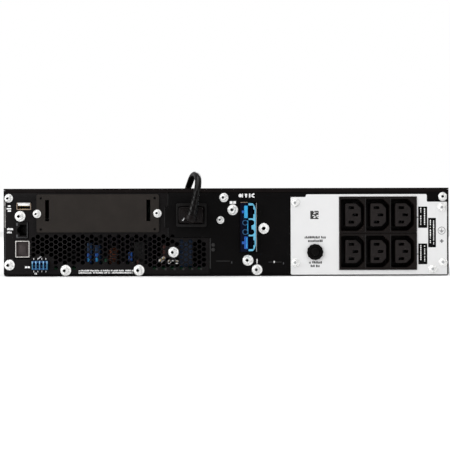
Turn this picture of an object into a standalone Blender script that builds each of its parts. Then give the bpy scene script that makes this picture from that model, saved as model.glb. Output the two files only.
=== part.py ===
"""A 2U rackmount uninterruptible power supply, modelled as an assembly of separate pieces.

+Z is up, the connector side faces -Y and the bezel side faces +Y. The origin is the centre of the
chassis bottom. Sizes are in millimetres here, and the helpers turn them into metres.
"""

import math

import bmesh
import bpy
from mathutils import Matrix, Vector

MM = 0.001

# Chassis
WIDTH = 432.0
HEIGHT = 85.0
DEPTH = 560.0
SHEET = 1.5
FOLD_R = 2.6
INNER_FOLD_R = 0.6
FOLD_STEPS = 4
PANEL = 1.2
GAP = 0.3
SIDE = WIDTH / 2
REAR = -DEPTH / 2
FRONT = DEPTH / 2
INNER_SIDE = SIDE - SHEET
PANEL_SIDE = INNER_SIDE - GAP
PANEL_LOW = SHEET + GAP
COVER_SKIRT = 14.0
COVER_LIP = 4.0
PANEL_TOP = HEIGHT - COVER_LIP - GAP

# Rear panels: the seam between the two black plates steps around the card slot and the vent
SEAM_X = -56.0
SEAM_STEP = 3.2
SEAM_STEP_LOW = 47.0
SEAM_STEP_HIGH = 67.5
VENT_END_X = -16.2
VENT_TOP_RIGHT = 37.0

# Vent: a coarse stand-in for the fine perforation
VENT_PITCH_X = 8.7
VENT_PITCH_Z = 10.0
VENT_HOLE_R = 4.3
VENT_X = -184.0
VENT_Z = 10.5
VENT_COLUMNS = 20
VENT_ROWS = 3
VENT_TOP = 38.0

# Ports on the left of the rear: centre x, centre z, width, height
USB = (-196.3, 67.9, 14.2, 7.7)
NETWORK = (-198.2, 44.8, 12.0, 15.5)
SERIAL = (-197.7, 26.0, 14.6, 17.5)
EPO = (-181.0, 10.7, 17.0, 8.8)
PORT_PROUD = 0.8
PORT_DEPTH = 14.0

# Card slot and its blanking cover
COVER_X = (-183.8, -65.1)
COVER_Z = (42.5, 79.4)
SLOT_X = (-178.0, -71.0)
SLOT_Z = (46.0, 76.5)
CARD_SCREWS = {"card_screw_left": (-183.3, 60.5), "card_screw_right": (-66.5, 60.7)}

# Screws through the rear plates: x, z, head radius
PANEL_SCREWS = [
    (-211.0, 75.8, 4.1),
    (-210.4, 11.0, 5.1),
    (-155.8, 5.6, 5.2),
    (-84.7, 5.6, 5.2),
    (-51.2, 23.0, 5.0),
    (-2.2, 75.9, 4.4),
    (21.1, 15.0, 5.2),
    (29.9, 5.8, 5.1),
    (210.3, 76.3, 4.3),
]
GROUND_SCREW = (-200.0, 58.3, 5.1)
SHANK_R = 1.6
SHANK_HOLE_R = 2.0
SCREW_SIDES = 12

# Mains inlet, plug and cord
INLET = (-33.6, 59.0)
INLET_FLANGE = (29.7, 23.2)
INLET_BODY = (26.4, 19.6)
INLET_RECESS = (24.4, 16.6)
PLUG_NOSE = (23.4, 15.6)
PLUG_HEAD = (22.6, 14.8)
PLUG_FACE_Y = -303.5
CORD_R = 3.2
CORD_START = (-28.4, -302.5, 76.0)
RELIEF_ROOT = (-33.4, -307.0, 54.3)
RELIEF_R = 7.0

# Battery connector: two power ways, each a pocket with its key and contact, and two signal eyes
DC_X = (13.8, 29.9)
DC_Z = (23.2, 70.8)
DC_FRONT = REAR - 5.0
DC_BACK = -258.0
DC_WAY_OFFSET = 14.9
DC_POCKET = (23.5, (4.8, 12.6))
DC_KEY = (26.0, (2.6, 5.0))
DC_CONTACT = (19.2, (3.4, 11.4))
DC_POCKET_DEPTH = 17.0
DC_EYE_X = 24.3
DC_EYE_OFFSET = 4.4
DC_EYE_R = 2.8
DC_EYE_DEPTH = 12.0

# Outlet field
OUTLET_PANEL_X = (62.6, 214.7)
OUTLET_PANEL_Z = (1.0, 78.8)
OUTLET_FRONT = REAR - GAP - PANEL
STRIP_X = (109.7, 184.7)
STRIP_Z = {"outlet_strip_upper": 58.7, "outlet_strip_lower": 23.2}
STRIP_HALF = 17.6
OUTLET_COLUMNS = (122.8, 147.2, 171.2)
WELL = (22.1, 30.3)
TONGUE = (15.6, 22.6)
WELL_DEPTH = 16.0
BREAKER = (86.1, 22.9)
BREAKER_COLLAR_R = 8.0
BREAKER_NECK_R = 6.2
BREAKER_BORE_R = 4.6
BREAKER_BUTTON_R = 4.2

# Boards and the tall parts on them
BOARD_Z = (5.5, 7.1)
PARTS_LOW = BOARD_Z[1] + GAP
SINK_X = (-150.0, -90.0)
FINS = 6
FIN_PITCH = 8.6
FIN_GAP = 6.2
FIN_ROOT_Z = 16.0
CHOKE_AT = (-112.0, -258.0, 17.2)
CHOKE_R = 9.5
CHOKE_BORE_R = 3.5
CHOKE_HALF = 4.5
BANK_X = -60.0
BANK_Y = 26.0
BANK_PITCH = 32.0
CAN_R = 14.0
CAN_TOP = 62.0

# Battery bay
BAY_X = (5.0, 212.5)
DIVIDER_BACK = -200.0
TRAY_X = (8.0, 211.0)
TRAY_Y = (-62.0, 277.0)
TRAY_Z = (2.6, 79.5)
TRAY_WALL = 40.0
CELL_LENGTH = 151.0
CELL_WIDTH = 94.0
CELL_HEIGHT = 65.0

# Fans
FAN_SIZE = 80.0
FAN_DEPTH = 25.0
FAN_Y = 258.0
FAN_Z = 42.5
FAN_X = {"left": -165.0, "right": -78.0}
FAN_BORE_R = 38.0
HUB_R = 15.0
BLADES = 7
BLADE_REACH = (12.0, 36.5)

# Bezels and display
BEZEL_BACK = FRONT + GAP
BEZEL_FRONT = FRONT + 25.0
BEZEL_WALL = 2.5
BEZEL_SPLIT = 5.5
LOUVRE_Z = (15.0, 70.0)
LOUVRE_HEIGHT = 4.6
DISPLAY_X = (-72.0, -10.0)
DISPLAY_Z = (19.0, 66.0)
LENS_X = (-65.0, -17.0)
LENS_Z = (35.0, 60.0)
BUTTON_Z = 27.0
BUTTONS = {"button_power": -62.0, "button_up": -47.5, "button_down": -34.0, "button_enter": -20.5}
BUTTON_R = 3.6

# Rack ears, to the 19 inch rack standard
EAR_OUTER = 241.3
EAR_THICK = 2.5
EAR_LENGTH = 60.0
RACK_HOLE_X = 232.55
RACK_HOLE_SPACING = 76.2

# Cord on the top cover, from the plug to the coil, and the coil that holds the rest
CORD_LIE = HEIGHT + GAP + CORD_R
CORD_ROUTE = [
    CORD_START,
    (-27.3, -300.5, 82.0),
    (-26.7, -297.2, 87.5),
    (-26.7, -292.7, 92.1),
    (-27.4, -287.4, 95.6),
    (-28.6, -281.5, 97.8),
    (-30.3, -275.3, 98.5),
    (-31.9, -270.2, 98.0),
    (-33.5, -265.3, 96.4),
    (-34.9, -260.8, 93.7),
    (-36.2, -255.9, 90.8),
    (-37.2, -250.5, 89.1),
    (-37.7, -244.8, CORD_LIE),
    (-39.7, -212.0, CORD_LIE),
    (-41.8, -172.0, CORD_LIE),
    (-43.4, -130.0, CORD_LIE),
    (-44.5, -80.0, CORD_LIE),
    (-44.9, -30.0, CORD_LIE),
    (-44.9, 30.0, CORD_LIE),
    (-44.6, 85.0, CORD_LIE),
]
CORD_GAP = 0.9
COIL_CENTRE = (-89.75, 130.0)
COIL_OUTER_R = 45.25
COIL_INNER_R = 25.75
COIL_LAYERS = 2

FINISHES = {
    "black_powder": ((0.018, 0.016, 0.016), 0.45, 0.2),
    "cover_powder": ((0.030, 0.024, 0.025), 0.45, 0.2),
    "grey_plate": ((0.045, 0.038, 0.036), 0.5, 0.3),
    "pale_grey": ((0.80, 0.80, 0.80), 0.5, 0.0),
    "zinc": ((0.80, 0.80, 0.80), 0.28, 1.0),
    "galvanised": ((0.42, 0.43, 0.44), 0.4, 1.0),
    "aluminium": ((0.60, 0.61, 0.62), 0.35, 1.0),
    "black_plastic": ((0.012, 0.012, 0.013), 0.4, 0.0),
    "bezel_plastic": ((0.016, 0.017, 0.018), 0.5, 0.0),
    "blue_plastic": ((0.02, 0.20, 0.60), 0.35, 0.0),
    "terminal_blue": ((0.03, 0.15, 0.34), 0.4, 0.0),
    "capacitor_blue": ((0.02, 0.05, 0.13), 0.35, 0.0),
    "copper": ((0.45, 0.18, 0.08), 0.35, 1.0),
    "board_green": ((0.02, 0.12, 0.05), 0.5, 0.0),
    "battery_grey": ((0.06, 0.06, 0.065), 0.6, 0.0),
    "lens": ((0.02, 0.03, 0.04), 0.08, 0.0),
    "cord_rubber": ((0.010, 0.010, 0.010), 0.5, 0.0),
}


# ---------------------------------------------------------------- helpers


def clear_scene():
    """Empty the file, so that only this model is in it."""
    for old in list(bpy.data.objects):
        bpy.data.objects.remove(old, do_unlink=True)


def new_collection(name):
    """A collection linked to the scene."""
    made = bpy.data.collections.new(name)
    bpy.context.scene.collection.children.link(made)
    return made


def paint(obj, finish):
    """Give a part a material of its own, with the values of one of the finishes."""
    colour, roughness, metallic = FINISHES[finish]
    material = bpy.data.materials.new(obj.name)
    material.use_nodes = True
    shader = material.node_tree.nodes["Principled BSDF"]
    shader.inputs["Base Color"].default_value = (*colour, 1.0)
    shader.inputs["Roughness"].default_value = roughness
    shader.inputs["Metallic"].default_value = metallic
    obj.data.materials.append(material)


def add(name, mesh, finish=None):
    """Link a mesh as a part when it has a finish, or else as a cutter."""
    obj = bpy.data.objects.new(name, mesh)
    if finish:
        PARTS.objects.link(obj)
        paint(obj, finish)
    else:
        CUTTERS.objects.link(obj)
        obj.hide_render = True
        obj.display_type = "WIRE"
    return obj


def from_bmesh(name, bm, finish):
    """A part or cutter from a bmesh that is in metres."""
    mesh = bpy.data.meshes.new(name)
    bm.to_mesh(mesh)
    bm.free()
    return add(name, mesh, finish)


def box(name, x, z, y, finish=None, bevel=0.0, segments=2):
    """A cuboid from its ranges across, up and back, with rounded edges where bevel is given."""
    bm = bmesh.new()
    bmesh.ops.create_cube(bm, size=1.0)
    size = Vector((x[1] - x[0], y[1] - y[0], z[1] - z[0])) * MM
    centre = Vector((x[0] + x[1], y[0] + y[1], z[0] + z[1])) * MM / 2
    bmesh.ops.scale(bm, vec=size, verts=bm.verts)
    bmesh.ops.translate(bm, vec=centre, verts=bm.verts)
    obj = from_bmesh(name, bm, finish)
    if bevel:
        rounding = obj.modifiers.new("Rounded edges", "BEVEL")
        rounding.width = bevel * MM
        rounding.segments = segments
    return obj


def block(name, centre, size, y, finish=None, bevel=0.0):
    """A cuboid from the centre and size of its face in the rear view, and its range in y."""
    x = (centre[0] - size[0] / 2, centre[0] + size[0] / 2)
    z = (centre[1] - size[1] / 2, centre[1] + size[1] / 2)
    return box(name, x, z, y, finish, bevel)


def rod(name, start, end, radius, finish=None, sides=16, end_radius=None):
    """A cylinder or cone between two points."""
    start, end = Vector(start) * MM, Vector(end) * MM
    turn = (end - start).to_track_quat("Z", "Y").to_matrix().to_4x4()
    bm = bmesh.new()
    bmesh.ops.create_cone(
        bm,
        cap_ends=True,
        segments=sides,
        radius1=radius * MM,
        radius2=(end_radius or radius) * MM,
        depth=(end - start).length,
        matrix=Matrix.Translation((start + end) / 2) @ turn,
    )
    return from_bmesh(name, bm, finish)


def rounded(points, radius, steps=3):
    """An outline with each of its corners replaced by an arc, or by a chamfer when steps is 1."""
    outline = []
    for index, point in enumerate(points):
        corner = Vector(point)
        to_last = (Vector(points[index - 1]) - corner).normalized()
        to_next = (Vector(points[(index + 1) % len(points)]) - corner).normalized()
        start, end = corner + to_last * radius, corner + to_next * radius
        for step in range(steps + 1):
            t = step / steps
            arc = start.lerp(corner, t).lerp(corner.lerp(end, t), t)
            outline.append(arc if steps > 1 else start.lerp(end, t))
    return outline


def rectangle(centre, size):
    """The four corners of a rectangle in the rear view, anticlockwise."""
    half_x, half_z = size[0] / 2, size[1] / 2
    x, z = centre
    lower = [(x - half_x, z - half_z), (x + half_x, z - half_z)]
    return [*lower, (x + half_x, z + half_z), (x - half_x, z + half_z)]


def slab(name, outline, y, finish=None):
    """A flat outline in the rear view, filled and given thickness from y[0] to y[1]."""
    curve = bpy.data.curves.new(name, "CURVE")
    curve.dimensions = "2D"
    curve.fill_mode = "BOTH"
    curve.extrude = (y[1] - y[0]) * MM / 2
    spline = curve.splines.new("POLY")
    spline.points.add(len(outline) - 1)
    for point, (x, z) in zip(spline.points, outline):
        point.co = (x * MM, z * MM, 0.0, 1.0)
    spline.use_cyclic_u = True
    drawn = bpy.data.objects.new(name + "_outline", curve)
    upright = Matrix.Rotation(math.pi / 2, 4, "X")
    drawn.matrix_world = Matrix.Translation((0, (y[0] + y[1]) * MM / 2, 0)) @ upright
    return solid_from_curve(name, drawn, finish)


def solid_from_curve(name, drawn, finish):
    """Turn a curve object into a welded mesh, which Boolean modifiers can cut."""
    PARTS.objects.link(drawn)
    bpy.context.view_layer.update()
    depsgraph = bpy.context.evaluated_depsgraph_get()
    mesh = bpy.data.meshes.new_from_object(drawn.evaluated_get(depsgraph))
    mesh.name = name
    mesh.materials.clear()
    bm = bmesh.new()
    bm.from_mesh(mesh)
    bmesh.ops.remove_doubles(bm, verts=bm.verts, dist=0.01 * MM)
    bmesh.ops.transform(bm, matrix=drawn.matrix_world, verts=bm.verts)
    bm.to_mesh(mesh)
    bm.free()
    bpy.data.objects.remove(drawn)
    return add(name, mesh, finish)


def turned(name, profile, finish, sides=SCREW_SIDES):
    """A turned shape about its own Z, from (radius, height) pairs that run down its outer side."""
    mesh = bpy.data.meshes.new(name)
    verts = [(radius * MM, 0.0, height * MM) for radius, height in profile]
    closed = profile[0][0] > 0.0
    edges = [(i, i + 1) for i in range(len(verts) - 1)]
    if closed:
        edges.append((len(verts) - 1, 0))
    mesh.from_pydata(verts, edges, [])
    obj = add(name, mesh, finish)
    lathe = obj.modifiers.new("Turned", "SCREW")
    lathe.steps = sides
    lathe.render_steps = sides
    lathe.use_merge_vertices = True
    lathe.merge_threshold = 0.01 * MM
    return obj


def boolean(target, tool, operation):
    """Cut a tool from a part, or join it on."""
    step = target.modifiers.new(tool.name, "BOOLEAN")
    step.operation = operation
    step.object = tool


def cut(target, *tools):
    """Cut each tool from a part."""
    for tool in tools:
        boolean(target, tool, "DIFFERENCE")


def join(target, *tools):
    """Join each tool to a part."""
    for tool in tools:
        boolean(target, tool, "UNION")


def empty(name, at, parent=None):
    """An empty that holds the pieces of one moving group."""
    holder = bpy.data.objects.new(name, None)
    holder.empty_display_size = 20.0 * MM
    PARTS.objects.link(holder)
    holder.location = Vector(at) * MM
    hold(holder, parent)
    return holder


def hold(child, parent):
    """Parent a piece without moving it."""
    if parent:
        bpy.context.view_layer.update()
        child.parent = parent
        child.matrix_parent_inverse = parent.matrix_world.inverted()


def set_origin(obj, at):
    """Put a piece's origin on its joint's axis and keep the piece in place."""
    point = Vector(at) * MM
    obj.data.transform(Matrix.Translation(-point))
    obj.location = point


# ---------------------------------------------------------------- chassis


def folded_outline(half_width, low, high, radius):
    """A rectangle whose two lower corners are round."""
    lower = [(-half_width, low), (half_width, low)]
    upper = [(half_width, high), (-half_width, high)]
    lower_arcs = rounded([*lower, *upper], radius, FOLD_STEPS)[: 2 * (FOLD_STEPS + 1)]
    return [*lower_arcs, *[Vector(corner) for corner in upper]]


def base_tray():
    """The bottom sheet with its two side walls, folded to a radius."""
    top = HEIGHT - SHEET - GAP
    outside = folded_outline(SIDE, 0, top, FOLD_R)
    inside = folded_outline(INNER_SIDE, SHEET, HEIGHT + SHEET, INNER_FOLD_R)
    tray = slab("base_tray", outside, (REAR, FRONT), "black_powder")
    cut(tray, slab("tray_hollow", inside, (REAR - 5, FRONT + 5)))
    return tray


def top_cover():
    """The lid, with a lip at each end and a skirt inside each wall."""
    sheet_low = HEIGHT - SHEET
    cover = box("top_cover", (-SIDE, SIDE), (sheet_low, HEIGHT), (REAR, FRONT), "cover_powder")
    skirt_z = (HEIGHT - COVER_SKIRT, HEIGHT - SHEET / 2)
    join(cover, box("cover_skirt", (-PANEL_SIDE, PANEL_SIDE), skirt_z, (REAR, FRONT)))
    inside = PANEL_SIDE - SHEET
    cut(cover, box("cover_hollow", (-inside, inside), (0, sheet_low), (REAR + SHEET, FRONT - SHEET)))
    for end, y in (("rear", (REAR - 5, REAR + 12)), ("front", (FRONT - 12, FRONT + 5))):
        cut(cover, box("cover_end_" + end, (-SIDE, SIDE), (0, HEIGHT - COVER_LIP), y))
    return cover


def shank_holes(panel, places, y):
    """Clearance holes for screw shanks."""
    for number, place in enumerate(places, 1):
        x, z = place[:2]
        name = f"{panel.name}_hole_{number}"
        cut(panel, rod(name, (x, y[0] - 5, z), (x, y[1] + 5, z), SHANK_HOLE_R, sides=10))


def vent_centres():
    """Where the vent's holes go: staggered columns that leave room for screws and terminals."""
    for column in range(VENT_COLUMNS):
        x = VENT_X + column * VENT_PITCH_X
        for row in range(VENT_ROWS):
            z = VENT_Z + row * VENT_PITCH_Z + (column % 2) * VENT_PITCH_Z / 2
            top = VENT_TOP if x < SEAM_X - 10 else VENT_TOP_RIGHT - 3
            near_terminals = x < EPO[0] + EPO[2] and z < EPO[1] + EPO[3]
            near_screw = any(math.hypot(x - sx, z - sz) < 8.5 for sx, sz, _ in PANEL_SCREWS)
            if z + VENT_HOLE_R < top and not near_terminals and not near_screw:
                yield x, z


def vent_cutter(y):
    """All of the vent's holes as one cutter."""
    bm = bmesh.new()
    turn = Matrix.Rotation(math.pi / 2, 4, "X")
    for x, z in vent_centres():
        place = Matrix.Translation((x * MM, (y[0] + y[1]) * MM / 2, z * MM))
        bmesh.ops.create_cone(
            bm,
            cap_ends=True,
            segments=6,
            radius1=VENT_HOLE_R * MM,
            radius2=VENT_HOLE_R * MM,
            depth=10.0 * MM,
            matrix=place @ turn,
        )
    return from_bmesh("vent_holes", bm, None)


def port_hole(port):
    """A cutter that leaves a gap all round a port."""
    x, z, width, height = port
    return block("port_hole", (x, z), (width + 2 * GAP, height + 2 * GAP), (REAR - 5, REAR + 5))


def comms_panel():
    """The left rear plate, with the vent, the card slot and the ports."""
    outline = [
        (-PANEL_SIDE, PANEL_LOW),
        (VENT_END_X, PANEL_LOW),
        (VENT_END_X, VENT_TOP_RIGHT),
        (SEAM_X, VENT_TOP_RIGHT),
        (SEAM_X, SEAM_STEP_LOW),
        (SEAM_X - SEAM_STEP, SEAM_STEP_LOW),
        (SEAM_X - SEAM_STEP, SEAM_STEP_HIGH),
        (SEAM_X, SEAM_STEP_HIGH),
        (SEAM_X, PANEL_TOP),
        (-PANEL_SIDE, PANEL_TOP),
    ]
    y = (REAR, REAR + PANEL)
    panel = slab("comms_panel", outline, y, "black_powder")
    cut(panel, vent_cutter(y), *[port_hole(port) for port in (USB, NETWORK, SERIAL, EPO)])
    cut(panel, box("slot_hole", SLOT_X, SLOT_Z, (REAR - 5, REAR + 5)))
    screws = [place for place in PANEL_SCREWS if place[0] < SEAM_X + 5]
    shank_holes(panel, [*screws, GROUND_SCREW, *CARD_SCREWS.values()], y)
    return panel


def power_panel():
    """The centre and right rear plate, with the inlet, the battery connector and the outlet window."""
    outline = [
        (VENT_END_X + GAP, PANEL_LOW),
        (PANEL_SIDE, PANEL_LOW),
        (PANEL_SIDE, PANEL_TOP),
        (SEAM_X + GAP, PANEL_TOP),
        (SEAM_X + GAP, SEAM_STEP_HIGH - GAP),
        (SEAM_X + GAP - SEAM_STEP, SEAM_STEP_HIGH - GAP),
        (SEAM_X + GAP - SEAM_STEP, SEAM_STEP_LOW + GAP),
        (SEAM_X + GAP, SEAM_STEP_LOW + GAP),
        (SEAM_X + GAP, VENT_TOP_RIGHT + GAP),
        (VENT_END_X + GAP, VENT_TOP_RIGHT + GAP),
    ]
    y = (REAR, REAR + PANEL)
    panel = slab("power_panel", outline, y, "black_powder")
    through = (REAR - 5, REAR + 5)
    inlet_hole = (INLET_BODY[0] + 2 * GAP, INLET_BODY[1] + 2 * GAP)
    cut(panel, block("inlet_hole", INLET, inlet_hole, through))
    cut(panel, box("dc_hole", (DC_X[0] - GAP, DC_X[1] + GAP), (DC_Z[0] - GAP, DC_Z[1] + GAP), through))
    cut(panel, box("outlet_window", (75.0, 190.0), (4.5, 77.0), through))
    shank_holes(panel, [place for place in PANEL_SCREWS if place[0] > SEAM_X + 5], y)
    return panel


def front_frame():
    """The front plate on the fan side, with an opening in front of each fan."""
    y = (FRONT - PANEL, FRONT)
    frame = box("front_frame", (-PANEL_SIDE, BAY_X[0]), (PANEL_LOW, PANEL_TOP), y, "black_powder")
    for x in FAN_X.values():
        cut(frame, rod("fan_opening", (x, y[0] - 5, FAN_Z), (x, y[1] + 5, FAN_Z), FAN_BORE_R - 1, sides=24))
    cut(frame, rod("display_cable_hole", (-18, y[0] - 5, FAN_Z), (-18, y[1] + 5, FAN_Z), 6.0, sides=12))
    return frame


def bay_divider():
    """The sheet wall between the electronics and the battery bay."""
    z = (PANEL_LOW, HEIGHT - SHEET - GAP)
    y = (DIVIDER_BACK, FRONT - PANEL - GAP)
    return box("bay_divider", (BAY_X[0] - SHEET, BAY_X[0]), z, y, "galvanised")


def rack_ear(name, side):
    """An angle bracket whose flange carries the two rack slots."""
    inner, outer = SIDE + GAP, SIDE + GAP + EAR_THICK
    leg_x = sorted((side * inner, side * outer))
    flange_x = sorted((side * inner, side * EAR_OUTER))
    ear = box(name, leg_x, (0, HEIGHT), (FRONT - EAR_LENGTH, FRONT + EAR_THICK), "black_powder")
    join(ear, box(name + "_flange", flange_x, (0, HEIGHT), (FRONT, FRONT + EAR_THICK)))
    for z in (HEIGHT / 2 - RACK_HOLE_SPACING / 2, HEIGHT / 2 + RACK_HOLE_SPACING / 2):
        hole = rounded(rectangle((side * RACK_HOLE_X, z), (10.4, 6.4)), 3.1)
        cut(ear, slab(f"{name}_slot_{z:.0f}", hole, (FRONT - 5, FRONT + 10)))
    return ear


# ---------------------------------------------------------------- rear fittings


def port(name, place, cavity, finish, tongue=None):
    """A socket shell in a rear plate, open to the rear, with a tongue inside when it has one."""
    x, z, width, height = place
    y = (REAR - PORT_PROUD, REAR - PORT_PROUD + PORT_DEPTH)
    shell = block(name, (x, z), (width, height), y, finish)
    cut(shell, block(name + "_cavity", (x, z), cavity, (y[0] - 1, y[1] - 2)))
    if tongue:
        offset, size = tongue
        join(shell, block(name + "_tongue", (x, z + offset), size, (y[0] + 1.5, y[1] - 1)))
    return shell


def epo_socket():
    """The board side of the emergency power-off terminals: a box open to the rear."""
    x, z, width, height = EPO
    socket = block("epo_socket", (x, z), (width, height), (REAR - 0.5, REAR + 12), "black_plastic")
    cut(socket, block("epo_cavity", (x, z), (width - 2, height - 2), (REAR - 2, REAR + 10)))
    return socket


def epo_plug(parent):
    """The pull-off terminal plug with its four wire openings."""
    x, z, width, height = EPO
    plug = block("epo_plug", (x, z), (width - 2.6, height - 2.6), (REAR - 5, REAR + 8), "terminal_blue")
    join(plug, block("epo_flange", (x, z), (width - 0.6, height - 1.2), (REAR - 5, REAR - 1)))
    for number in range(4):
        way_x = x + (number - 1.5) * 3.5
        cut(plug, block(f"epo_way_{number}", (way_x, z), (2.2, 3.6), (REAR - 6, REAR - 1)))
    set_origin(plug, (x, REAR, z))
    hold(plug, parent)
    return plug


def screw(name, x, z, head_r, seat_y):
    """A pan-head screw with a washer face, its head towards -Y and its seat at seat_y."""
    profile = [
        (0.0, 2.4),
        (head_r * 0.55, 2.2),
        (head_r * 0.80, 0.9),
        (head_r, 0.7),
        (head_r, 0.0),
        (SHANK_R, 0.0),
        (SHANK_R, -5.0),
        (0.0, -5.0),
    ]
    made = turned(name, profile, "zinc")
    made.rotation_euler = (math.pi / 2, 0.0, 0.0)
    made.location = (x * MM, (seat_y - GAP) * MM, z * MM)
    return made


def card_slot_cover(parent):
    """The blanking plate over the card slot, with its vent slots and corner holes."""
    centre = (sum(COVER_X) / 2, sum(COVER_Z) / 2)
    size = (COVER_X[1] - COVER_X[0], COVER_Z[1] - COVER_Z[0])
    y = (REAR - GAP - PANEL, REAR - GAP)
    through = (y[0] - 3, y[1] + 3)
    cover = slab("card_slot_cover", rounded(rectangle(centre, size), 1.2, 1), y, "grey_plate")
    for side in (-1, 1):
        slot_x = centre[0] + side * 49.1
        cut(cover, block(f"cover_slot_{side}", (slot_x, 63.7), (3.8, 20.8), through))
        for z in (45.4, 75.6):
            x = centre[0] + side * 55.2
            cut(cover, rod("cover_corner_hole", (x, through[0], z), (x, through[1], z), 1.3, sides=8))
    for name, (x, z) in CARD_SCREWS.items():
        cut(cover, rod(name + "_notch", (x, through[0], z), (x, through[1], z), SHANK_HOLE_R, sides=10))
    set_origin(cover, (centre[0], REAR, centre[1]))
    hold(cover, parent)
    return cover


def card_screws(parent):
    """The two screws that hold the card slot cover at its ends."""
    for name, (x, z) in CARD_SCREWS.items():
        hold(screw(name, x, z, 4.0, REAR - GAP - PANEL), parent)


def power_inlet():
    """The snap-in mains inlet with its recess for the plug."""
    inlet = block("power_inlet", INLET, INLET_BODY, (REAR - 1, REAR + 20), "black_plastic")
    flange = rounded(rectangle(INLET, INLET_FLANGE), 2.0, 2)
    join(inlet, slab("inlet_flange", flange, (REAR - GAP - 2.0, REAR - GAP)))
    cut(inlet, block("inlet_recess", INLET, INLET_RECESS, (REAR - 5, REAR + 15)))
    return inlet


def battery_connector():
    """The keyed connector for an external battery cabinet."""
    body = box("battery_connector", DC_X, DC_Z, (DC_FRONT, DC_BACK), "blue_plastic", bevel=0.6, segments=1)
    middle = sum(DC_Z) / 2
    pocket_y = (DC_FRONT - 1, DC_FRONT + DC_POCKET_DEPTH)
    for side in (-1, 1):
        way_z = middle + side * DC_WAY_OFFSET
        for label, (x, size) in (("pocket", DC_POCKET), ("key", DC_KEY)):
            cut(body, block(f"dc_{label}_{side}", (x, way_z), size, pocket_y))
        x, size = DC_CONTACT
        join(body, block(f"dc_contact_{side}", (x, way_z), size, (DC_FRONT - 0.9, DC_FRONT + 1)))
        eye_z = middle + side * DC_EYE_OFFSET
        start, end = (DC_EYE_X, DC_FRONT - 1, eye_z), (DC_EYE_X, DC_FRONT + DC_EYE_DEPTH, eye_z)
        cut(body, rod(f"dc_eye_{side}", start, end, DC_EYE_R, sides=12))
    return body


# ---------------------------------------------------------------- outlets and breaker


def outlet_panel():
    """The pale plate that carries the outlets and the breaker."""
    left, right = OUTLET_PANEL_X
    low, high = OUTLET_PANEL_Z
    outline = [
        (left, low),
        (right, low),
        (right, high - 7.5),
        (194.5, high - 7.5),
        (194.5, high),
        (77.4, high),
        (77.4, high - 2.6),
        (left, high - 2.6),
    ]
    panel = slab("outlet_panel", rounded(outline, 1.2, 2), (OUTLET_FRONT, REAR - GAP), "pale_grey")
    through = (OUTLET_FRONT - 3, REAR + 3)
    reach = STRIP_HALF + GAP
    window_z = (min(STRIP_Z.values()) - reach, max(STRIP_Z.values()) + reach)
    cut(panel, box("strips_window", (STRIP_X[0] - GAP, STRIP_X[1] + GAP), window_z, through))
    x, z = BREAKER
    cut(panel, rod("breaker_hole", (x, through[0], z), (x, through[1], z), BREAKER_NECK_R + GAP, sides=16))
    return panel


def keyed_outline(centre, size, chamfer):
    """A rectangle whose two corners on the +X side are cut off."""
    x, z = centre
    half_x, half_z = size[0] / 2, size[1] / 2
    return [
        (x - half_x, z - half_z),
        (x + half_x - chamfer, z - half_z),
        (x + half_x, z - half_z + chamfer),
        (x + half_x, z + half_z - chamfer),
        (x + half_x - chamfer, z + half_z),
        (x - half_x, z + half_z),
    ]


def outlet_strip(name, z):
    """Three keyed outlets in one housing: each a well with a tongue that holds three contacts."""
    front = OUTLET_FRONT - 1.0
    strip = box(name, STRIP_X, (z - STRIP_HALF, z + STRIP_HALF), (front, front + 26), "black_plastic")
    floor = front + WELL_DEPTH
    for number, x in enumerate(OUTLET_COLUMNS):
        label = f"{name}_{number}"
        well = keyed_outline((x, z), WELL, 5.6)
        cut(strip, slab(label + "_well", well, (front - 1, floor)))
        tongue = keyed_outline((x, z), TONGUE, 4.4)
        join(strip, slab(label + "_tongue", tongue, (front + 0.8, floor + 1)))
        for dx, dz in ((-1.7, 7.0), (-1.7, -7.0), (2.0, 0.0)):
            contact = (x + dx, z + dz)
            cut(strip, block(f"{label}_contact_{dz:.0f}", contact, (4.8, 1.9), (front - 1, front + 12)))
    return strip


def breaker_body():
    """The circuit breaker: case behind the plate, neck through it and collar in front."""
    x, z = BREAKER
    case = (REAR + 2, REAR + 34)
    body = block("breaker_body", BREAKER, (15.0, 28.0), case, "black_plastic")
    join(body, rod("breaker_neck", (x, OUTLET_FRONT - 1, z), (x, REAR + 3, z), BREAKER_NECK_R, sides=16))
    collar = (OUTLET_FRONT - GAP - 1.6, OUTLET_FRONT - GAP)
    join(body, rod("breaker_collar", (x, collar[0], z), (x, collar[1], z), BREAKER_COLLAR_R, sides=24))
    cut(body, rod("breaker_bore", (x, OUTLET_FRONT - 5, z), (x, REAR + 20, z), BREAKER_BORE_R, sides=16))
    return body


def breaker_button(parent):
    """The reset button, which stands out of the collar when the breaker trips."""
    x, z = BREAKER
    start, end = (x, OUTLET_FRONT - 3.4, z), (x, REAR + 14, z)
    button = rod("breaker_button", start, end, BREAKER_BUTTON_R, "black_plastic", sides=16)
    set_origin(button, (x, OUTLET_FRONT, z))
    hold(button, parent)
    return button


# ---------------------------------------------------------------- electronics


def main_board():
    """The power board on its standoffs."""
    board = box("main_board", (-205, -12), BOARD_Z, (-262, 170), "board_green")
    for number, (x, y) in enumerate(((-198, -240), (-20, -230), (-198, 160), (-20, 160))):
        join(board, rod(f"standoff_{number}", (x, y, PANEL_LOW), (x, y, 6.2), 3.0, sides=8))
    return board


def output_board():
    """The board behind the outlets, with their relays."""
    return box("output_board", (70, 205), BOARD_Z, (-246, -80), "board_green")


def heatsink():
    """The finned block that cools the power transistors."""
    sink = box("heatsink", SINK_X, (PARTS_LOW, 68), (-90, 60), "aluminium")
    for number in range(FINS):
        x = SINK_X[0] + 5.0 + number * FIN_PITCH
        cut(sink, box(f"fin_gap_{number}", (x, x + FIN_GAP), (FIN_ROOT_Z, 75), (-95, 65)))
    return sink


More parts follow.
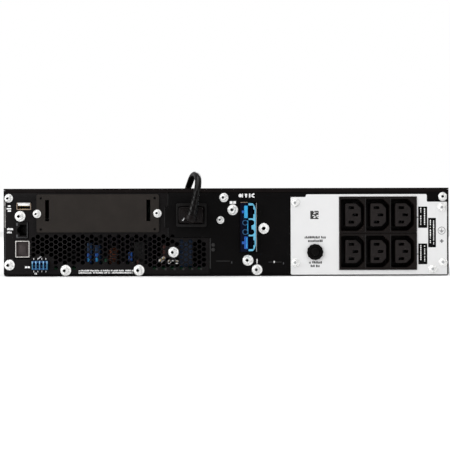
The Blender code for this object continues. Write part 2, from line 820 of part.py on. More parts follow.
def filter_capacitor():
    """The block capacitor beside the inlet."""
    return box("filter_capacitor", (-46.5, -33.5), (PARTS_LOW, 35.5), (-258, -232), "capacitor_blue", bevel=1.0)


def output_choke():
    """The toroid choke standing on the board."""
    outside = [(CHOKE_R, CHOKE_HALF), (CHOKE_R, -CHOKE_HALF)]
    profile = [*outside, (CHOKE_BORE_R, -CHOKE_HALF), (CHOKE_BORE_R, CHOKE_HALF)]
    choke = turned("output_choke", profile, "copper", sides=20)
    choke.rotation_euler = (0.0, math.pi / 2, 0.0)
    choke.location = Vector(CHOKE_AT) * MM
    return choke


def capacitor_bank():
    """The four bus capacitors in their holder."""
    bank = box("capacitor_bank", (BANK_X - 15, BANK_X + 15), (PARTS_LOW, 18), (10, 138), "capacitor_blue")
    for number in range(4):
        y = BANK_Y + number * BANK_PITCH
        join(bank, rod(f"capacitor_{number}", (BANK_X, y, 10), (BANK_X, y, CAN_TOP), CAN_R, sides=16))
    return bank


def fan_frame(side, x):
    """A square fan housing with its motor seat on four struts."""
    half = FAN_SIZE / 2
    y = (FAN_Y - FAN_DEPTH / 2, FAN_Y + FAN_DEPTH / 2)
    across, up = (x - half, x + half), (FAN_Z - half, FAN_Z + half)
    frame = box("fan_frame_" + side, across, up, y, "black_plastic")
    cut(frame, rod("fan_bore_" + side, (x, y[0] - 5, FAN_Z), (x, y[1] + 5, FAN_Z), FAN_BORE_R, sides=32))
    strut_y = (y[0], y[0] + 3)
    join(frame, block("strut_across_" + side, (x, FAN_Z), (FAN_SIZE - 1, 4), strut_y))
    join(frame, block("strut_up_" + side, (x, FAN_Z), (4, FAN_SIZE - 1), strut_y))
    join(frame, rod("motor_seat_" + side, (x, y[0], FAN_Z), (x, y[0] + 4, FAN_Z), HUB_R - 1, sides=16))
    return frame


def fan_rotor(side, x, parent):
    """The hub and its pitched blades, with the origin on the fan's axle."""
    centre = (x, FAN_Y, FAN_Z)
    back, front = FAN_Y - FAN_DEPTH / 2 + 5, FAN_Y + FAN_DEPTH / 2 - 2
    rotor = rod("fan_rotor_" + side, (x, back, FAN_Z), (x, front, FAN_Z), HUB_R, "black_plastic", sides=21)
    pitch = Matrix.Rotation(math.radians(35), 4, "Z")
    for number in range(BLADES):
        blade = box(f"blade_{side}_{number}", (-0.8, 0.8), BLADE_REACH, (-8, 8))
        around = Matrix.Rotation(number * 2 * math.pi / BLADES, 4, "Y")
        blade.data.transform(Matrix.Translation(Vector(centre) * MM) @ around @ pitch)
        join(rotor, blade)
    set_origin(rotor, centre)
    hold(rotor, parent)
    return rotor


# ---------------------------------------------------------------- battery module


def battery_tray(parent):
    """The pull-out tray with its full-height front plate."""
    tray = box("battery_tray", TRAY_X, (TRAY_Z[0], TRAY_WALL), TRAY_Y, "galvanised")
    inside_x, inside_y = (TRAY_X[0] + PANEL, TRAY_X[1] - PANEL), (TRAY_Y[0] + PANEL, TRAY_Y[1] - PANEL)
    join(tray, box("tray_front", TRAY_X, TRAY_Z, (inside_y[1], TRAY_Y[1])))
    cut(tray, box("battery_hollow", inside_x, (TRAY_Z[0] + PANEL, TRAY_WALL + 5), inside_y))
    set_origin(tray, (sum(TRAY_X) / 2, TRAY_Y[1], sum(TRAY_Z) / 2))
    hold(tray, parent)
    return tray


def battery_pack(parent):
    """Four sealed batteries lying on their sides, taped together."""
    middle = sum(TRAY_X) / 2
    low = TRAY_Z[0] + PANEL + GAP
    start = TRAY_Y[0] + PANEL + GAP
    x = (middle - CELL_WIDTH, middle + CELL_WIDTH)
    y = (start, start + 2 * CELL_LENGTH)
    pack = box("battery_pack", x, (low, low + CELL_HEIGHT), y, "battery_grey")
    seam_z = (low + CELL_HEIGHT - 4, low + CELL_HEIGHT + 5)
    cut(pack, box("seam_along", (middle - 0.8, middle + 0.8), seam_z, (y[0] - 5, y[1] + 5)))
    seam_y = start + CELL_LENGTH
    cut(pack, box("seam_across", (x[0] - 5, x[1] + 5), seam_z, (seam_y - 0.8, seam_y + 0.8)))
    hold(pack, parent)
    return pack


def battery_handle(parent):
    """A fixed bow handle on the battery tray's front plate."""
    middle = sum(TRAY_X) / 2
    back = TRAY_Y[1] + GAP
    reach = 16.0
    curve = bpy.data.curves.new("battery_handle", "CURVE")
    curve.dimensions = "3D"
    curve.bevel_depth = 3.5 * MM
    curve.bevel_resolution = 2
    curve.use_fill_caps = True
    spline = curve.splines.new("POLY")
    bow = [(-36, 0), (-36, reach - 5), (-34, reach - 1.5), (-30, reach)]
    bow = bow + [(-x, y) for x, y in reversed(bow)]
    spline.points.add(len(bow) - 1)
    for point, (x, y) in zip(spline.points, bow):
        point.co = ((middle + x) * MM, (back + y) * MM, FAN_Z * MM, 1.0)
    handle = solid_from_curve("battery_handle", bpy.data.objects.new("handle_line", curve), "black_plastic")
    hold(handle, parent)
    return handle


def battery_dock():
    """The fixed half of the battery module's rear connector."""
    y = (TRAY_Y[0] - 16, TRAY_Y[0] - 2)
    return box("battery_dock", (80, 140), (12, 34), y, "black_plastic", bevel=1.0, segments=1)


# ---------------------------------------------------------------- bezels and display


def louvres(name, x, y, rows):
    """A stack of horizontal slots as one cutter."""
    bm = bmesh.new()
    for row in range(rows):
        z = LOUVRE_Z[0] + row * (LOUVRE_Z[1] - LOUVRE_Z[0]) / (rows - 1)
        size = Matrix.Diagonal(((x[1] - x[0]) * MM, (y[1] - y[0]) * MM, LOUVRE_HEIGHT * MM, 1.0))
        centre = Vector(((x[0] + x[1]) / 2, (y[0] + y[1]) / 2, z)) * MM
        bmesh.ops.create_cube(bm, size=1.0, matrix=Matrix.Translation(centre) @ size)
    return from_bmesh(name, bm, None)


def bezel_shell(name, x):
    """A hollow front cover, open at the back, with rounded front edges."""
    y = (BEZEL_BACK, BEZEL_FRONT)
    shell = box(name, x, (0, HEIGHT), y, "bezel_plastic", bevel=2.0)
    inside_x = (x[0] + BEZEL_WALL, x[1] - BEZEL_WALL)
    inside_z = (BEZEL_WALL, HEIGHT - BEZEL_WALL)
    cut(shell, box(name + "_hollow", inside_x, inside_z, (y[0] - 5, y[1] - BEZEL_WALL)))
    return shell


def front_bezel(parent):
    """The fan-side bezel with its louvres and display opening."""
    bezel = bezel_shell("front_bezel", (-SIDE, BEZEL_SPLIT - GAP))
    through = (BEZEL_FRONT - 10, BEZEL_FRONT + 5)
    cut(bezel, louvres("fan_louvres", (-204, -84), through, 6))
    cut(bezel, box("display_opening", DISPLAY_X, DISPLAY_Z, through))
    set_origin(bezel, (-SIDE / 2, BEZEL_BACK, HEIGHT / 2))
    hold(bezel, parent)
    return bezel


def battery_cover(parent):
    """The bezel in front of the battery, with its louvres and finger recess."""
    cover = bezel_shell("battery_cover", (BEZEL_SPLIT, SIDE))
    through = (BEZEL_FRONT - 10, BEZEL_FRONT + 5)
    cut(cover, louvres("battery_louvres", (24, 176), through, 6))
    cut(cover, box("finger_opening", (190, 206), (28, 58), through))
    set_origin(cover, (SIDE / 2, BEZEL_BACK, HEIGHT / 2))
    hold(cover, parent)
    return cover


def display_housing(parent):
    """The frame that carries the lens and guides the buttons."""
    x = (DISPLAY_X[0] + GAP, DISPLAY_X[1] - GAP)
    z = (DISPLAY_Z[0] + GAP, DISPLAY_Z[1] - GAP)
    y = (BEZEL_FRONT - 12, BEZEL_FRONT + 0.8)
    housing = box("display_housing", x, z, y, "black_plastic", bevel=0.8, segments=1)
    recess_x, recess_z = (LENS_X[0] - GAP, LENS_X[1] + GAP), (LENS_Z[0] - GAP, LENS_Z[1] + GAP)
    cut(housing, box("lens_recess", recess_x, recess_z, (BEZEL_FRONT - 2, BEZEL_FRONT + 5)))
    for name, x in BUTTONS.items():
        start, end = (x, BEZEL_FRONT - 20, BUTTON_Z), (x, BEZEL_FRONT + 5, BUTTON_Z)
        cut(housing, rod(name + "_guide", start, end, BUTTON_R + GAP, sides=16))
    hold(housing, parent)
    return housing


def display_lens(parent):
    """The window over the display."""
    y = (BEZEL_FRONT - 1.7, BEZEL_FRONT + 0.4)
    lens = box("display_lens", LENS_X, LENS_Z, y, "lens", bevel=0.4, segments=1)
    hold(lens, parent)
    return lens


def display_board(parent):
    """The board behind the display that the buttons press on."""
    x, z = (DISPLAY_X[0] + 3, DISPLAY_X[1] - 3), (DISPLAY_Z[0] + 3, DISPLAY_Z[1] - 3)
    board = box("display_board", x, z, (BEZEL_FRONT - 16, BEZEL_FRONT - 14.4), "board_green")
    hold(board, parent)
    return board


def display_buttons(parent):
    """The push buttons below the lens."""
    for name, x in BUTTONS.items():
        start, end = (x, BEZEL_FRONT - 12, BUTTON_Z), (x, BEZEL_FRONT + 2.2, BUTTON_Z)
        button = rod(name, start, end, BUTTON_R, "black_plastic", sides=16)
        set_origin(button, (x, BEZEL_FRONT, BUTTON_Z))
        hold(button, parent)


# ---------------------------------------------------------------- cord


def smooth_route(points, spacing):
    """Points at an even spacing along a smooth curve through the route's points."""
    points = [Vector(p) for p in points]
    padded = [points[0] * 2 - points[1], *points, points[-1] * 2 - points[-2]]
    fine = []
    for a, b, c, d in zip(padded, padded[1:], padded[2:], padded[3:]):
        for step in range(20):
            t = step / 20
            square, cube = 2 * a - 5 * b + 4 * c - d, 3 * b - a - 3 * c + d
            fine.append((2 * b + (c - a) * t + square * t**2 + cube * t**3) / 2)
    fine.append(points[-1])
    even, travelled = [fine[0]], 0.0
    for last, here in zip(fine, fine[1:]):
        travelled += (here - last).length
        if travelled >= spacing:
            even.append(here)
            travelled = 0.0
    even[-1] = fine[-1]
    return even


def power_plug():
    """The moulded plug in the inlet, with its lead leaving upwards through a tapered relief."""
    nose_y = (REAR - 4, REAR + 13)
    plug = block("power_plug", INLET, PLUG_NOSE, nose_y, "cord_rubber")
    join(plug, block("plug_head", INLET, PLUG_HEAD, (PLUG_FACE_Y, REAR - 2.6), bevel=2.0))
    join(plug, rod("plug_relief", RELIEF_ROOT, CORD_START, RELIEF_R, sides=14, end_radius=CORD_R + 0.3))
    return plug


def power_cord():
    """The lead, from the plug's relief over the top edge and along the cover to the coil."""
    start = Vector(CORD_ROUTE[0])
    out = (Vector(CORD_ROUTE[1]) - start).normalized()
    coil_side = (COIL_CENTRE[0] + COIL_OUTER_R, COIL_CENTRE[1] - 26.0, CORD_LIE)
    route = [start + out * CORD_GAP, *CORD_ROUTE[1:], coil_side]
    curve = bpy.data.curves.new("power_cord", "CURVE")
    curve.dimensions = "3D"
    curve.bevel_depth = CORD_R * MM
    curve.bevel_resolution = 2
    curve.use_fill_caps = True
    line = smooth_route(route, 2.3 * 2 * CORD_R)
    spline = curve.splines.new("POLY")
    spline.points.add(len(line) - 1)
    for point, place in zip(spline.points, line):
        point.co = (*(place * MM), 1.0)
    return solid_from_curve("power_cord", bpy.data.objects.new("cord_line", curve), "cord_rubber")


def cord_coil():
    """The outer shape of the coiled lead on the top cover."""
    inner, outer = COIL_INNER_R - CORD_R - GAP, COIL_OUTER_R + CORD_R
    height = COIL_LAYERS * 2 * CORD_R + GAP
    profile = [(inner + 2, height), (outer - 2, height), (outer, height - 2), (outer, 2), (outer - 2, 0)]
    profile += [(inner + 2, 0), (inner, 2), (inner, height - 2)]
    coil = turned("cord_coil", profile, "cord_rubber", sides=32)
    coil.location = (COIL_CENTRE[0] * MM, COIL_CENTRE[1] * MM, (HEIGHT + GAP) * MM)
    return coil


def cord_end_plug():
    """The plug at the far end of the lead, lying on the cover beside the coil."""
    x, y = COIL_CENTRE[0] + COIL_OUTER_R, COIL_CENTRE[1] + 26.5
    low = HEIGHT + GAP
    body_z = (low, low + 18.4)
    axis_z = sum(body_z) / 2
    body_y = (y + 24.0, y + 56.0)
    plug = box("cord_end_plug", (x - 13.5, x + 13.5), body_z, body_y, "cord_rubber", bevel=2.5)
    join(plug, rod("end_relief", (x, y, axis_z), (x, y + 26, axis_z), CORD_R + 0.3, sides=14, end_radius=6.0))
    for dx, dz in ((-7.0, -2.0), (7.0, -2.0), (0.0, 2.0)):
        pin = (x + dx, axis_z + dz)
        join(plug, block(f"end_pin_{dx:.0f}", pin, (2.0, 4.0), (body_y[1] - 2, body_y[1] + 15)))
    return plug


# ---------------------------------------------------------------- assembly


def build_rear(chassis):
    """Every fitting in the rear panels."""
    port("usb_port", USB, (12.4, 5.2), "zinc", tongue=(-1.0, (10.6, 1.8)))
    port("network_port", NETWORK, (8.4, 11.9), "black_plastic")
    port("serial_port", SERIAL, (10.8, 13.7), "zinc", tongue=(0.0, (6.4, 8.0)))
    epo_socket()
    epo_plug(chassis)
    power_inlet()
    battery_connector()
    screw("ground_screw", *GROUND_SCREW, REAR)
    for number, place in enumerate(PANEL_SCREWS, 1):
        screw(f"panel_screw_{number}", *place, REAR)
    cover = empty("card_cover_group", ((COVER_X[0] + COVER_X[1]) / 2, REAR, 60.6), chassis)
    card_slot_cover(cover)
    card_screws(cover)
    outlet_panel()
    for name, z in STRIP_Z.items():
        outlet_strip(name, z)
    breaker_body()
    breaker_button(chassis)


def build_inside(chassis):
    """The electronics and the fans."""
    main_board()
    output_board()
    heatsink()
    filter_capacitor()
    output_choke()
    capacitor_bank()
    battery_dock()
    for side, x in FAN_X.items():
        fan_frame(side, x)
        fan_rotor(side, x, chassis)


def build_front(chassis):
    """The battery module, the two bezels and the display."""
    module = empty("battery_group", (sum(TRAY_X) / 2, FRONT, HEIGHT / 2), chassis)
    battery_tray(module)
    battery_pack(module)
    battery_handle(module)
    battery_cover(module)
    bezel = empty("bezel_group", (-SIDE / 2, FRONT, HEIGHT / 2), chassis)
    front_bezel(bezel)
    display_housing(bezel)
    display_lens(bezel)
    display_board(bezel)
    display_buttons(bezel)


def build_cord():
    """The mains lead, with a plug at each end."""
    power_plug()
    power_cord()
    cord_coil()
    cord_end_plug()


def smooth_round_pieces():
    """Shade the meshes smooth, except across their sharp edges."""
    for obj in PARTS.objects:
        if obj.type == "MESH":
            obj.data.shade_smooth()
            obj.data.set_sharp_from_angle(angle=math.radians(30))


def build():
    """Make the whole assembly."""
    chassis = empty("chassis_group", (0, 0, 0))
    base_tray()
    top_cover()
    comms_panel()
    power_panel()
    front_frame()
    bay_divider()
    rack_ear("rack_ear_left", -1)
    rack_ear("rack_ear_right", 1)
    build_rear(chassis)
    build_inside(chassis)
    build_front(chassis)
    build_cord()
    smooth_round_pieces()


clear_scene()
PARTS = new_collection("rackmount_ups")
CUTTERS = new_collection("cutters")
build()
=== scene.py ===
"""The looks of the rackmount UPS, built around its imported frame. Sizes here are in millimetres."""

import math

import bmesh
import bpy
from mathutils import Matrix, Vector


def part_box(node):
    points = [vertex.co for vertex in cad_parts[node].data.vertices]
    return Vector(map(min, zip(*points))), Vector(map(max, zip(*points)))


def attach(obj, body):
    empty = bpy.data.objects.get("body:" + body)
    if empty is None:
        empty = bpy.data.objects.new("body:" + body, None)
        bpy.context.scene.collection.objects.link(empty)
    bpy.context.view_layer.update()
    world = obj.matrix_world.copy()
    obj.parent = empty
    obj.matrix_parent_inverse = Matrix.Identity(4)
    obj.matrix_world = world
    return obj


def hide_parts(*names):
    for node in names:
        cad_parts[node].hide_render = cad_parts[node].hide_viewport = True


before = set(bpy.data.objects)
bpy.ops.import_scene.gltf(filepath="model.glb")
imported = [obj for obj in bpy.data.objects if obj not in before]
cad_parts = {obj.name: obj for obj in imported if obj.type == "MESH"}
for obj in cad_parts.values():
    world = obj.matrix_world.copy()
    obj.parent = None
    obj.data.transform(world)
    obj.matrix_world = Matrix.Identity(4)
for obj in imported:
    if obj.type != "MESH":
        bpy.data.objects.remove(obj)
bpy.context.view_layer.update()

MM = 0.001
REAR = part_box("base_tray")[0][1] / MM
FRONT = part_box("base_tray")[1][1] / MM
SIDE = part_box("base_tray")[1][0] / MM
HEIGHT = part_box("top_cover")[1][2] / MM
GAP = 0.3
PANEL = 1.2
CHASSIS = "chassis"


def span(node):
    """A CAD node's ranges in x, y and z, in millimetres."""
    low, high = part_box(node)
    return [(low[i] / MM, high[i] / MM) for i in range(3)]


def middle(node):
    """The centre of a CAD node in the rear view."""
    x, _, z = span(node)
    return sum(x) / 2, sum(z) / 2


# ---------------------------------------------------------------- materials


def nodes_of(name):
    """A new material, its node tree and its shader."""
    made = bpy.data.materials.new(name)
    made.use_nodes = True
    return made, made.node_tree, made.node_tree.nodes["Principled BSDF"]


def put(node, **values):
    """Set a node's inputs; an underscore stands for the space in an input's name."""
    for name, value in values.items():
        node.inputs[name.replace("_", " ")].default_value = value


def pattern(tree, kind, stretch=(1.0, 1.0, 1.0), **values):
    """A texture node over the object's coordinates, which can be stretched along an axis."""
    place = tree.nodes.new("ShaderNodeTexCoord")
    mapping = tree.nodes.new("ShaderNodeMapping")
    put(mapping, Scale=stretch)
    tree.links.new(place.outputs["Object"], mapping.inputs["Vector"])
    made = tree.nodes.new("ShaderNodeTex" + kind)
    put(made, **values)
    tree.links.new(mapping.outputs["Vector"], made.inputs["Vector"])
    return made


def noise(tree, scale, detail=4.0, roughness=0.5, stretch=(1.0, 1.0, 1.0)):
    """A noise pattern at a scale, in waves per metre."""
    return pattern(tree, "Noise", stretch, Scale=scale, Detail=detail, Roughness=roughness).outputs["Fac"]


def tint(tree, value, colour, stops, shader):
    """Base colour from a ramp over a value: stops are (place, how much lighter or darker)."""
    made = tree.nodes.new("ShaderNodeValToRGB")
    elements = made.color_ramp.elements
    while len(elements) < len(stops):
        elements.new(0.5)
    for element, (place, amount) in zip(elements, stops):
        element.position = place
        element.color = (*shade(colour, amount), 1.0)
    tree.links.new(value, made.inputs["Fac"])
    tree.links.new(made.outputs["Color"], shader.inputs["Base Color"])


def gloss(tree, value, low, high, shader):
    """Roughness between two values, from a pattern's middle range."""
    made = tree.nodes.new("ShaderNodeMapRange")
    put(made, From_Min=0.3, From_Max=0.7, To_Min=low, To_Max=high)
    tree.links.new(value, made.inputs["Value"])
    tree.links.new(made.outputs["Result"], shader.inputs["Roughness"])


def bump(tree, value, strength, distance, shader):
    """Relief from a value, on the shader's normal."""
    made = tree.nodes.new("ShaderNodeBump")
    put(made, Strength=strength, Distance=distance * MM)
    tree.links.new(value, made.inputs["Height"])
    tree.links.new(made.outputs["Normal"], shader.inputs["Normal"])


def shade(colour, amount):
    """A colour made lighter or darker."""
    return tuple(min(1.0, c * amount) for c in colour)


def surface(name, colour, tone, stops, sheen, relief, **values):
    """A material from three noises, for tone, sheen and relief, each (scale, detail, roughness, stretch)."""
    made, tree, shader = nodes_of(name)
    tint(tree, noise(tree, *tone), colour, stops, shader)
    gloss(tree, noise(tree, *sheen[0]), *sheen[1:], shader)
    bump(tree, noise(tree, *relief[0]), *relief[1:], shader)
    put(shader, **values)
    return made


def powder_coat(name, colour, rough=0.5, specular=0.3, mottling=0.3):
    """Powder coat: fine orange peel, faint mottling and patches that are rubbed smoother."""
    stops = ((0.30, 1 - mottling), (0.55, 1), (0.80, 1 + mottling))
    sheen = ((18.0, 5.0, 0.65), rough - 0.05, rough + 0.06)
    peel = ((1400.0, 2.0), 0.35, 0.05)
    return surface(name, colour, (60.0, 6.0, 0.6), stops, sheen, peel, Specular_IOR_Level=specular)


def moulded(name, colour, rough=0.42, specular=0.35, grain=900.0, depth=0.03):
    """Moulded plastic with a fine grain and slight sheen changes."""
    drift = (45.0, 4.0)
    sheen = (drift, rough - 0.06, rough + 0.08)
    relief = ((grain, 3.0), 0.3, depth)
    return surface(name, colour, drift, ((0.3, 0.85), (0.7, 1.2)), sheen, relief, Specular_IOR_Level=specular)


def plated(name, colour, rough=0.3, metallic=0.6):
    """Bright plating with turning marks, small stains and tarnish in places."""
    stain = (320.0, 5.0, 0.6)
    stops = ((0.25, 0.7), (0.5, 1), (0.8, 1.05))
    marks = ((900.0, 2.0, 0.5, (1.0, 1.0, 6.0)), 0.2, 0.02)
    return surface(name, colour, stain, stops, (stain, rough - 0.08, rough + 0.14), marks, Metallic=metallic)


def brushed(name, colour, rough=0.38):
    """Rolled or extruded metal with long fine lines and grey blooms."""
    lines = (260.0, 6.0, 0.7, (1.0, 12.0, 1.0))
    stops = ((0.3, 0.8), (0.5, 1), (0.75, 1.15))
    sheen = (lines, rough - 0.1, rough + 0.12)
    return surface(name, colour, (30.0, 5.0, 0.7), stops, sheen, (lines, 0.25, 0.03), Metallic=1.0)


def rubber(name, colour, rough=0.42):
    """Extruded cord jacket: smooth and slightly glossy, with handling marks."""
    marks = (150.0, 6.0, 0.6)
    sheen = (marks, rough - 0.05, rough + 0.08)
    relief = ((700.0, 3.0), 0.1, 0.01)
    return surface(name, colour, marks, ((0.3, 0.8), (0.8, 1.7)), sheen, relief, Specular_IOR_Level=0.14)


def ink(name, colour):
    """Screen-printed ink, worn a little thin in places."""
    thin = (500.0, 4.0, 0.6)
    return surface(name, colour, thin, ((0.25, 0.8), (0.6, 1)), (thin, 0.5, 0.65), (thin, 0.1, 0.01))


def circuit_board(name, colour):
    """Solder mask with tracks showing as a lighter maze under it."""
    made, tree, shader = nodes_of(name)
    colours = [(*shade(colour, amount), 1.0) for amount in (1, 0.7, 2.2)]
    maze = pattern(
        tree, "Brick", Scale=90.0, Color1=colours[0], Color2=colours[1], Mortar=colours[2], Mortar_Size=0.03
    )
    tree.links.new(maze.outputs["Color"], shader.inputs["Base Color"])
    gloss(tree, noise(tree, 80.0), 0.3, 0.5, shader)
    bump(tree, maze.outputs["Fac"], 0.3, 0.05, shader)
    return made


def windings(name, colour):
    """Turns of enamelled wire, as fine ridges around the core."""
    made, tree, shader = nodes_of(name)
    turns = pattern(tree, "Wave", Scale=160.0, Distortion=1.5)
    turns.wave_type = "RINGS"
    tint(tree, turns.outputs["Fac"], colour, ((0.1, 0.4), (0.8, 1)), shader)
    gloss(tree, turns.outputs["Fac"], 0.25, 0.4, shader)
    bump(tree, turns.outputs["Fac"], 0.6, 0.2, shader)
    put(shader, Metallic=0.8)
    return made


def glow(name, colour, strength):
    """A lit indicator."""
    made, tree, shader = nodes_of(name)
    tint(tree, noise(tree, 200.0), colour, ((0.3, 0.8), (0.7, 1)), shader)
    put(shader, Emission_Color=(*colour, 1.0), Emission_Strength=strength)
    return made


BLACK_PAINT = powder_coat("black_paint", (0.0022, 0.0019, 0.0020), 0.5, 0.05)
PANEL_PAINT = powder_coat("panel_paint", (0.0044, 0.0036, 0.0038), 0.5, 0.09)
COVER_PAINT = powder_coat("cover_paint", (0.0050, 0.0033, 0.0032), 0.48, 0.06)
# A lighter grey paint for painted highlights along edges, seams, slits and bumps.
EDGE_HIGHLIGHT = powder_coat("painted_edge_highlight", (0.020, 0.0195, 0.0195), 0.45, 0.2)
SLOT_PAINT = powder_coat("slot_cover_paint", (0.0185, 0.0152, 0.0132), 0.55, 0.11, 0.15)
PALE_PAINT = powder_coat("pale_paint", (0.70, 0.70, 0.702), 0.45, 0.3, 0.015)
ZINC = plated("bright_zinc", (0.88, 0.88, 0.87), 0.24, 0.45)
SHELL_METAL = plated("shell_metal", (0.60, 0.58, 0.56), 0.32, 0.9)
SHELL_BROWN = plated("shell_brown", (0.34, 0.26, 0.20), 0.32, 0.8)
GOLD = plated("contact_gold", (0.80, 0.58, 0.25), 0.28, 0.9)
GALVANISED = brushed("galvanised", (0.45, 0.46, 0.47))
ALUMINIUM = brushed("aluminium", (0.62, 0.63, 0.64), 0.35)
ANODISED = brushed("dark_anodised", (0.035, 0.035, 0.038), 0.45)
SLEEVE_BLACK = moulded("sleeve_black", (0.0020, 0.0016, 0.0015), 0.45, 0.06)
SOCKET_BLACK = moulded("socket_black", (0.0032, 0.0026, 0.0026), 0.4, 0.14)
CASE_BLACK = moulded("case_black", (0.008, 0.0078, 0.008), 0.5, 0.25)
BEZEL_BLACK = moulded("bezel_black", (0.016, 0.017, 0.018), 0.5, 0.35, 700.0, 0.05)
HOLE_BLACK = moulded("hole_black", (0.002, 0.002, 0.002), 0.8, 0.05)
DEEP_BLUE = moulded("deep_blue", (0.0008, 0.0022, 0.0125), 0.45, 0.06)
MID_BLUE = moulded("mid_blue", (0.006, 0.075, 0.34), 0.36, 0.4)
BRIGHT_BLUE = moulded("bright_blue", (0.026, 0.30, 0.58), 0.34, 0.3)
SKY_BLUE = moulded("sky_blue", (0.115, 0.40, 0.58), 0.36, 0.3)
TERMINAL_BLUE = moulded("terminal_blue", (0.008, 0.055, 0.16), 0.4, 0.3)
TERMINAL_PALE = moulded("terminal_pale", (0.07, 0.26, 0.42), 0.4, 0.3)
CAPACITOR_BLUE = moulded("capacitor_blue", (0.006, 0.030, 0.085), 0.35, 0.3)
COMPONENT_RED = moulded("component_red", (0.07, 0.020, 0.015), 0.4, 0.3)
BOARD_GREEN = circuit_board("board_green", (0.010, 0.075, 0.032))
COPPER = windings("copper_windings", (0.26, 0.085, 0.045))
CORD_BLACK = rubber("cord_black", (0.0018, 0.0014, 0.0014), 0.16)
PLUG_BLACK = moulded("plug_black", (0.0030, 0.0018, 0.0018), 0.36, 0.11)
BATTERY_GREY = moulded("battery_grey", (0.055, 0.056, 0.06), 0.55, 0.3)
BATTERY_TAPE = moulded("battery_tape", (0.60, 0.61, 0.60), 0.5, 0.3)
WHITE_INK = ink("white_ink", (0.85, 0.85, 0.85))
GREY_INK = ink("grey_ink", (0.16, 0.16, 0.165))
BLACK_INK = ink("black_ink", (0.012, 0.012, 0.012))
SMEAR = (70.0, 6.0, 0.7, (1.0, 1.0, 3.0))
LENS = surface(
    "lens_film", (0.010, 0.016, 0.020), SMEAR, ((0.3, 1), (0.8, 1.6)), (SMEAR, 0.05, 0.2), (SMEAR, 0.05, 0.02),
    Coat_Weight=0.6,
)
DISPLAY_GLOW = glow("display_glow", (0.35, 0.75, 0.95), 0.9)
GREEN_GLOW = glow("green_glow", (0.10, 0.80, 0.25), 1.2)
WIRE_RED = rubber("wire_red", (0.45, 0.02, 0.02))
STRIP_BLACK = moulded("strip_black", (0.0062, 0.0044, 0.0040), 0.42, 0.10)
TONGUE_BLACK = moulded("tongue_black", (0.0112, 0.0088, 0.0086), 0.46, 0.13)
COMPONENT_DARK = moulded("component_dark", (0.028, 0.020, 0.020), 0.5, 0.3)
SKY_PALE = moulded("sky_pale", (0.27, 0.54, 0.80), 0.36, 0.35)
EYE_BLUE = moulded("eye_blue", (0.018, 0.085, 0.20), 0.4, 0.3)
TERMINAL_GREEN = moulded("terminal_green", (0.02, 0.10, 0.05), 0.4, 0.35)
FOAM_GREY = moulded("foam_grey", (0.03, 0.03, 0.032), 0.9, 0.1, 350.0, 0.3)


# ---------------------------------------------------------------- shapes


def rounded(points, radius, steps=4):
    """An outline with an arc at each corner."""
    outline = []
    for index, point in enumerate(points):
        corner = Vector(point)
        back = (Vector(points[index - 1]) - corner).normalized()
        ahead = (Vector(points[(index + 1) % len(points)]) - corner).normalized()
        start, end = corner + back * radius, corner + ahead * radius
        for step in range(steps + 1):
            t = step / steps
            outline.append(start.lerp(corner, t).lerp(corner.lerp(end, t), t))
    return outline


def rectangle(centre, size):
    """The corners of a rectangle in the rear view."""
    (x, z), a, b = centre, size[0] / 2, size[1] / 2
    return [(x - a, z - b), (x + a, z - b), (x + a, z + b), (x - a, z + b)]


def soft_rectangle(centre, size, radius, steps=3):
    """A rectangle with rounded corners."""
    return rounded(rectangle(centre, size), radius, steps)


def circle(centre, radius, sides=24):
    """The corners of a regular polygon."""
    angles = [2 * math.pi * i / sides for i in range(sides)]
    return [(centre[0] + radius * math.cos(a), centre[1] + radius * math.sin(a)) for a in angles]


def soft_keyed(centre, size, chamfer, radius):
    """A rectangle with its two corners on the +X side cut off and every corner eased."""
    (x, z), a, b = centre, size[0] / 2, size[1] / 2
    corners = [(x - a, z - b), (x + a - chamfer, z - b), (x + a, z - b + chamfer)]
    corners += [(x + a, z + b - chamfer), (x + a - chamfer, z + b), (x - a, z + b)]
    return rounded(corners, radius, 3)


def linked(name, data):
    """A new object in the scene."""
    made = bpy.data.objects.new(name, data)
    bpy.context.scene.collection.objects.link(made)
    return made


def add_piece(obj, body, replaces=()):
    """Say what a piece rides on and the nodes it stands for."""
    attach(obj, body)
    if replaces:
        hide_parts(*replaces)
    return obj


def final_mesh(obj):
    """The mesh an object makes with its modifiers, in place of the object."""
    bpy.context.view_layer.update()
    made = bpy.data.meshes.new_from_object(obj.evaluated_get(bpy.context.evaluated_depsgraph_get()))
    bpy.data.objects.remove(obj)
    return made


def carve(mesh, cutters):
    """A mesh with closed cutters taken away: the cut faces get the cutters' materials."""
    body = linked("carved", mesh)
    tools = [linked("tool", cutter) for cutter in cutters]
    for tool in tools:
        step = body.modifiers.new("Cut", "BOOLEAN")
        step.operation = "DIFFERENCE"
        step.object = tool
        step.material_mode = "TRANSFER"
    made = final_mesh(body)
    for tool in tools:
        bpy.data.objects.remove(tool)
    return made


def rotation(degrees, axis):
    """A turn about an axis, as a matrix."""
    return Matrix.Rotation(math.radians(degrees), 4, axis)


def new_curve(name, dimensions, radius, resolution):
    """A curve with a round section."""
    curve = bpy.data.curves.new(name, "CURVE")
    curve.dimensions = dimensions
    curve.bevel_depth = radius * MM
    curve.bevel_resolution = resolution
    return curve


def add_spline(curve, points, cyclic=False):
    """A line through points in metres, drawn in a curve."""
    spline = curve.splines.new("POLY")
    spline.points.add(len(points) - 1)
    for point, place in zip(spline.points, points):
        point.co = (*place, 1.0)
    spline.use_cyclic_u = cyclic
    spline.use_smooth = True


